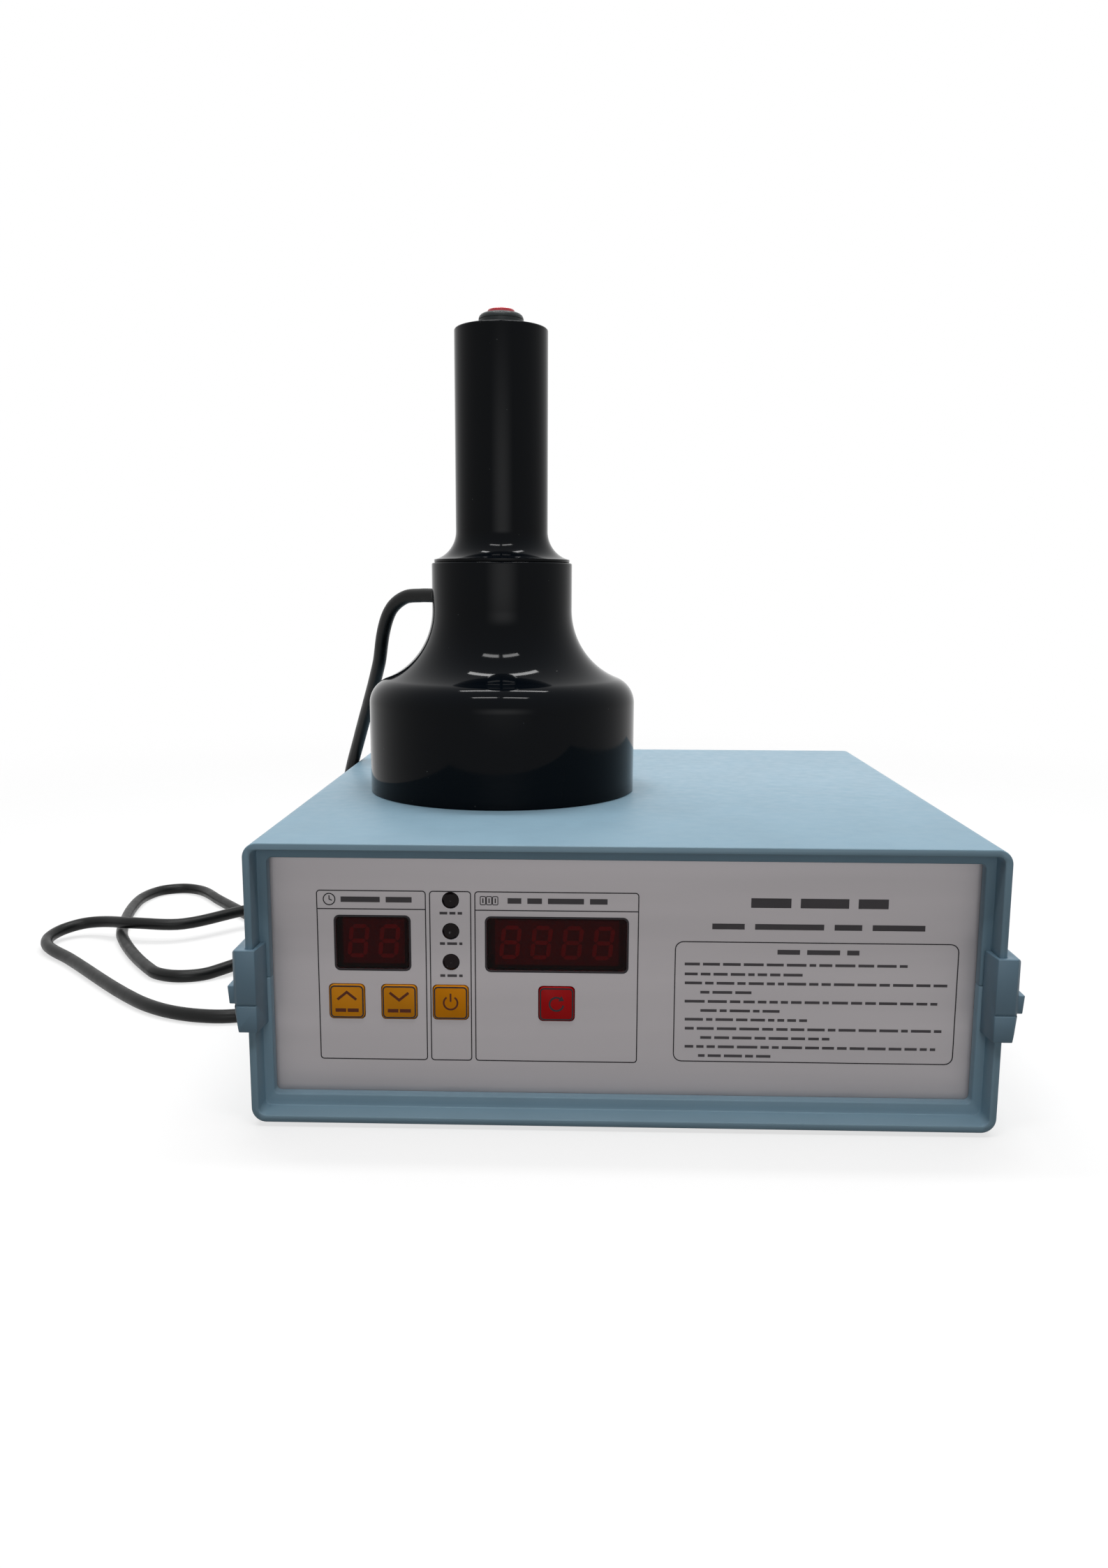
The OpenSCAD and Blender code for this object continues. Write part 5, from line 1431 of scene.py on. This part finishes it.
    def mark_reset(self) -> None:
        """Marks the reset key with a circling arrow."""
        marks, (x, z) = self.outline_key("key_reset", Body.RESET_KEY, Slot.RED)
        radius = self.sign_r
        marks.ring((x, z), radius, self.sign_line, *self.reset_arc)
        tip = math.radians(self.reset_arc[0])
        out = Vector((math.cos(tip), math.sin(tip)))
        ahead = Vector((math.sin(tip), -math.cos(tip)))
        at = Vector((x + self.arrow_at * radius * math.cos(tip), z + self.arrow_at * radius * math.sin(tip)))
        head = [at + self.arrow_len * ahead, at + self.arrow_half * out, at - self.arrow_half * out]
        marks.fill([tuple(point) for point in head])
        enrol(marks.piece("key_reset_marks", INK), Body.RESET_KEY, Slot.RED)

    def segment_bar(self, length: float) -> bpy.types.Object:
        """Makes one digit segment with pointed ends, lying along X.

        Args:
            length: Its length from tip to tip.

        Returns:
            A helper object for a recipe.
        """
        half, tip = length / 2, self.segment / 2
        marks = FlatMarks(0.0, self.segment_ink, self.segment_ink)
        marks.fill([
            (-half, 0), (-half + tip, -tip), (half - tip, -tip), (half, 0), (half - tip, tip), (-half + tip, tip),
        ])
        return marks.piece("segment", DIGIT_SEGMENT)

    def fit_digits(self, node: str, count: int) -> None:
        """Lays the seven segments of each digit on a digit module's face.

        Args:
            node: The module's CAD node.
            count: Number of digits.
        """
        low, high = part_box(node)
        pitch = (high.x - low.x) / count
        middle = (low.z + high.z) / 2
        reach = (self.digit_h - self.segment) / 4
        side = (self.digit_w - self.segment) / 2
        points, turns = [], []
        for i in range(count):
            x = low.x + (i + 0.5) * pitch
            for z in (-2 * reach, 0, 2 * reach):
                points.append((x, low.y, middle + z))
                turns.append(0.0)
            for dx, z in ((-side, -reach), (side, -reach), (-side, reach), (side, reach)):
                points.append((x + dx, low.y, middle + z))
                turns.append(math.pi / 2)
        recipe = Recipe("digit segments")
        recipe.place(recipe.helper("Segment"), Rotation=recipe.vector(Y=recipe.carried("turn")))
        helper = self.segment_bar(2 * reach - self.segment_gap)
        name = node + "_segments"
        piece = recipe.bake(name, points_mesh(name, points, turn=turns), DIGIT_SEGMENT, Segment=helper)
        bpy.data.objects.remove(helper)
        lean = Matrix.Identity(4)
        lean[0][2] = math.tan(math.radians(self.slant))
        piece.data.transform(Matrix.Translation((0, 0, middle)) @ lean @ Matrix.Translation((0, 0, -middle)))
        enrol(piece, Body.CASE, Slot.LAMP)


@dataclass
class RearFittings:
    """Cross-head screws on the fan guard, and the marks on the mains rocker."""

    head_r: float = 3.6 * MM
    head_h: float = 2.2 * MM
    head_brow: float = 1.1 * MM
    brow_start: float = 20.0
    head_crown: float = 0.15 * MM
    shank_r: float = 1.9 * MM
    tip_h: float = 0.6 * MM
    tip_share: float = 0.7
    screw_steps: int = 32
    screw_sharp: float = 35.0
    cross_arm: float = 2.0 * MM
    cross_w: float = 0.8 * MM
    cross_depth: float = 1.2 * MM
    cross_lift: float = 1 * MM
    seed: int = 4
    pivot: Point = (-66 * MM, 125.9 * MM, 82 * MM)
    rocker_tilt: float = 9.0
    face_slope: float = 8.33
    face_out: float = 4.4 * MM
    face_up: float = 4.1 * MM
    mark_ink: float = 30 * MICRON
    off_r: float = 2.0 * MM
    off_line: float = 0.6 * MM
    on_half: Flat = (0.3 * MM, 2.0 * MM)

    def build(self) -> None:
        """Sets the screws and marks the rocker."""
        self.set_screws()
        self.mark_rocker()

    def screw(self, length: float) -> bpy.types.Object:
        """Makes one pan-head screw that points along -Y, with the seat of its head at the origin.

        Args:
            length: Length of its shank.

        Returns:
            A helper object for a recipe.
        """
        brow, shank = self.head_brow, self.shank_r
        outline = [
            (0.0, -length), (shank * self.tip_share, -length), (shank, self.tip_h - length), (shank, 0.0),
            (self.head_r, 0.0), (self.head_r, self.head_h - brow),
            *arc((self.head_r - brow, self.head_h - brow), brow, self.brow_start, 90, 5),
            (0.0, self.head_h + self.head_crown),
        ]
        whole = turned("screw", outline, Vector(), self.screw_steps)
        cross = bmesh.new()
        for size in ((2 * self.cross_arm, self.cross_w), (self.cross_w, 2 * self.cross_arm)):
            top = Matrix.Translation((0, 0, self.head_h + self.cross_lift / 2 - self.cross_depth / 2))
            scale = Matrix.Diagonal((*size, self.cross_depth + self.cross_lift, 1))
            bmesh.ops.create_cube(cross, size=1, matrix=top @ scale)
        cutter = new_piece("cross", mesh_of("cross", cross))
        cut = whole.modifiers.new("cross", "BOOLEAN")
        cut.operation = "DIFFERENCE"
        cut.solver = "EXACT"
        cut.use_self = True
        cut.object = cutter
        keep_result(whole, cut)
        bpy.data.objects.remove(cutter)
        whole.data.transform(Matrix.Rotation(math.radians(-90), 4, "X"))
        return whole

    def set_screws(self) -> None:
        """Puts a screw in each corner of the fan guard, each turned as it came to rest."""
        low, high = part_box("fan_screws")
        seat = high.y - self.head_h
        points = [
            (x, seat, z) for x in (low.x + self.head_r, high.x - self.head_r)
            for z in (low.z + self.head_r, high.z - self.head_r)
        ]
        recipe = Recipe("guard screws")
        chance = {"Max": recipe.input("Turn", "Float"), "Seed": recipe.input("Seed", "Int")}
        turn = recipe.add("FunctionNodeRandomValue", chance, data_type="FLOAT").outputs["Value"]
        recipe.place(recipe.helper("Screw"), Rotation=recipe.vector(Y=turn))
        helper = self.screw(seat - low.y)
        start = points_mesh("guard_screws", points)
        piece = recipe.bake("guard_screws", start, STEEL, Screw=helper, Turn=math.pi / 2, Seed=self.seed)
        bpy.data.objects.remove(helper)
        smooth(piece.data, self.screw_sharp)
        enrol(piece, Body.CASE, Slot.STEEL, "fan_screws")

    def mark_rocker(self) -> None:
        """Marks the rocker's halves with the signs for off and on."""
        off, on = FlatMarks(0.0, self.mark_ink), FlatMarks(0.0, self.mark_ink)
        off.ring((0.0, 0.0), self.off_r, self.off_line)
        wide, tall = self.on_half
        on.bar((-wide, -tall), (wide, tall))
        tilt = Matrix.Translation(self.pivot) @ Matrix.Rotation(math.radians(self.rocker_tilt), 4, "X")
        for name, marks, side in (("rocker_off_mark", off, 1), ("rocker_on_mark", on, -1)):
            piece = marks.piece(name, WHITE_INK)
            half = Matrix.Translation((0, self.face_out, side * self.face_up))
            half = half @ Matrix.Rotation(math.radians(-side * self.face_slope), 4, "X")
            piece.data.transform(tilt @ half @ Matrix.Rotation(math.pi, 4, "Z"))
            enrol(piece, Body.ROCKER, Slot.SOFT_BLACK)


def dress_nodes() -> None:
    """Gives every CAD node its finish."""
    for finish, nodes in NODE_FINISHES.items():
        for name in nodes:
            finish.dress(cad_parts[name])
    LOG.info("%d nodes dressed", sum(len(nodes) for nodes in NODE_FINISHES.values()))


def main() -> None:
    """Builds the scene in order and reports each piece."""
    logging.basicConfig(level=logging.INFO, format="%(name)s: %(message)s")
    Studio().build()
    HeadCable().build()
    dress_nodes()
    Casing().build()
    SealingHead().build()
    KeypadPanel().build()
    RearFittings().build()


if __name__ == "__main__":
    main()
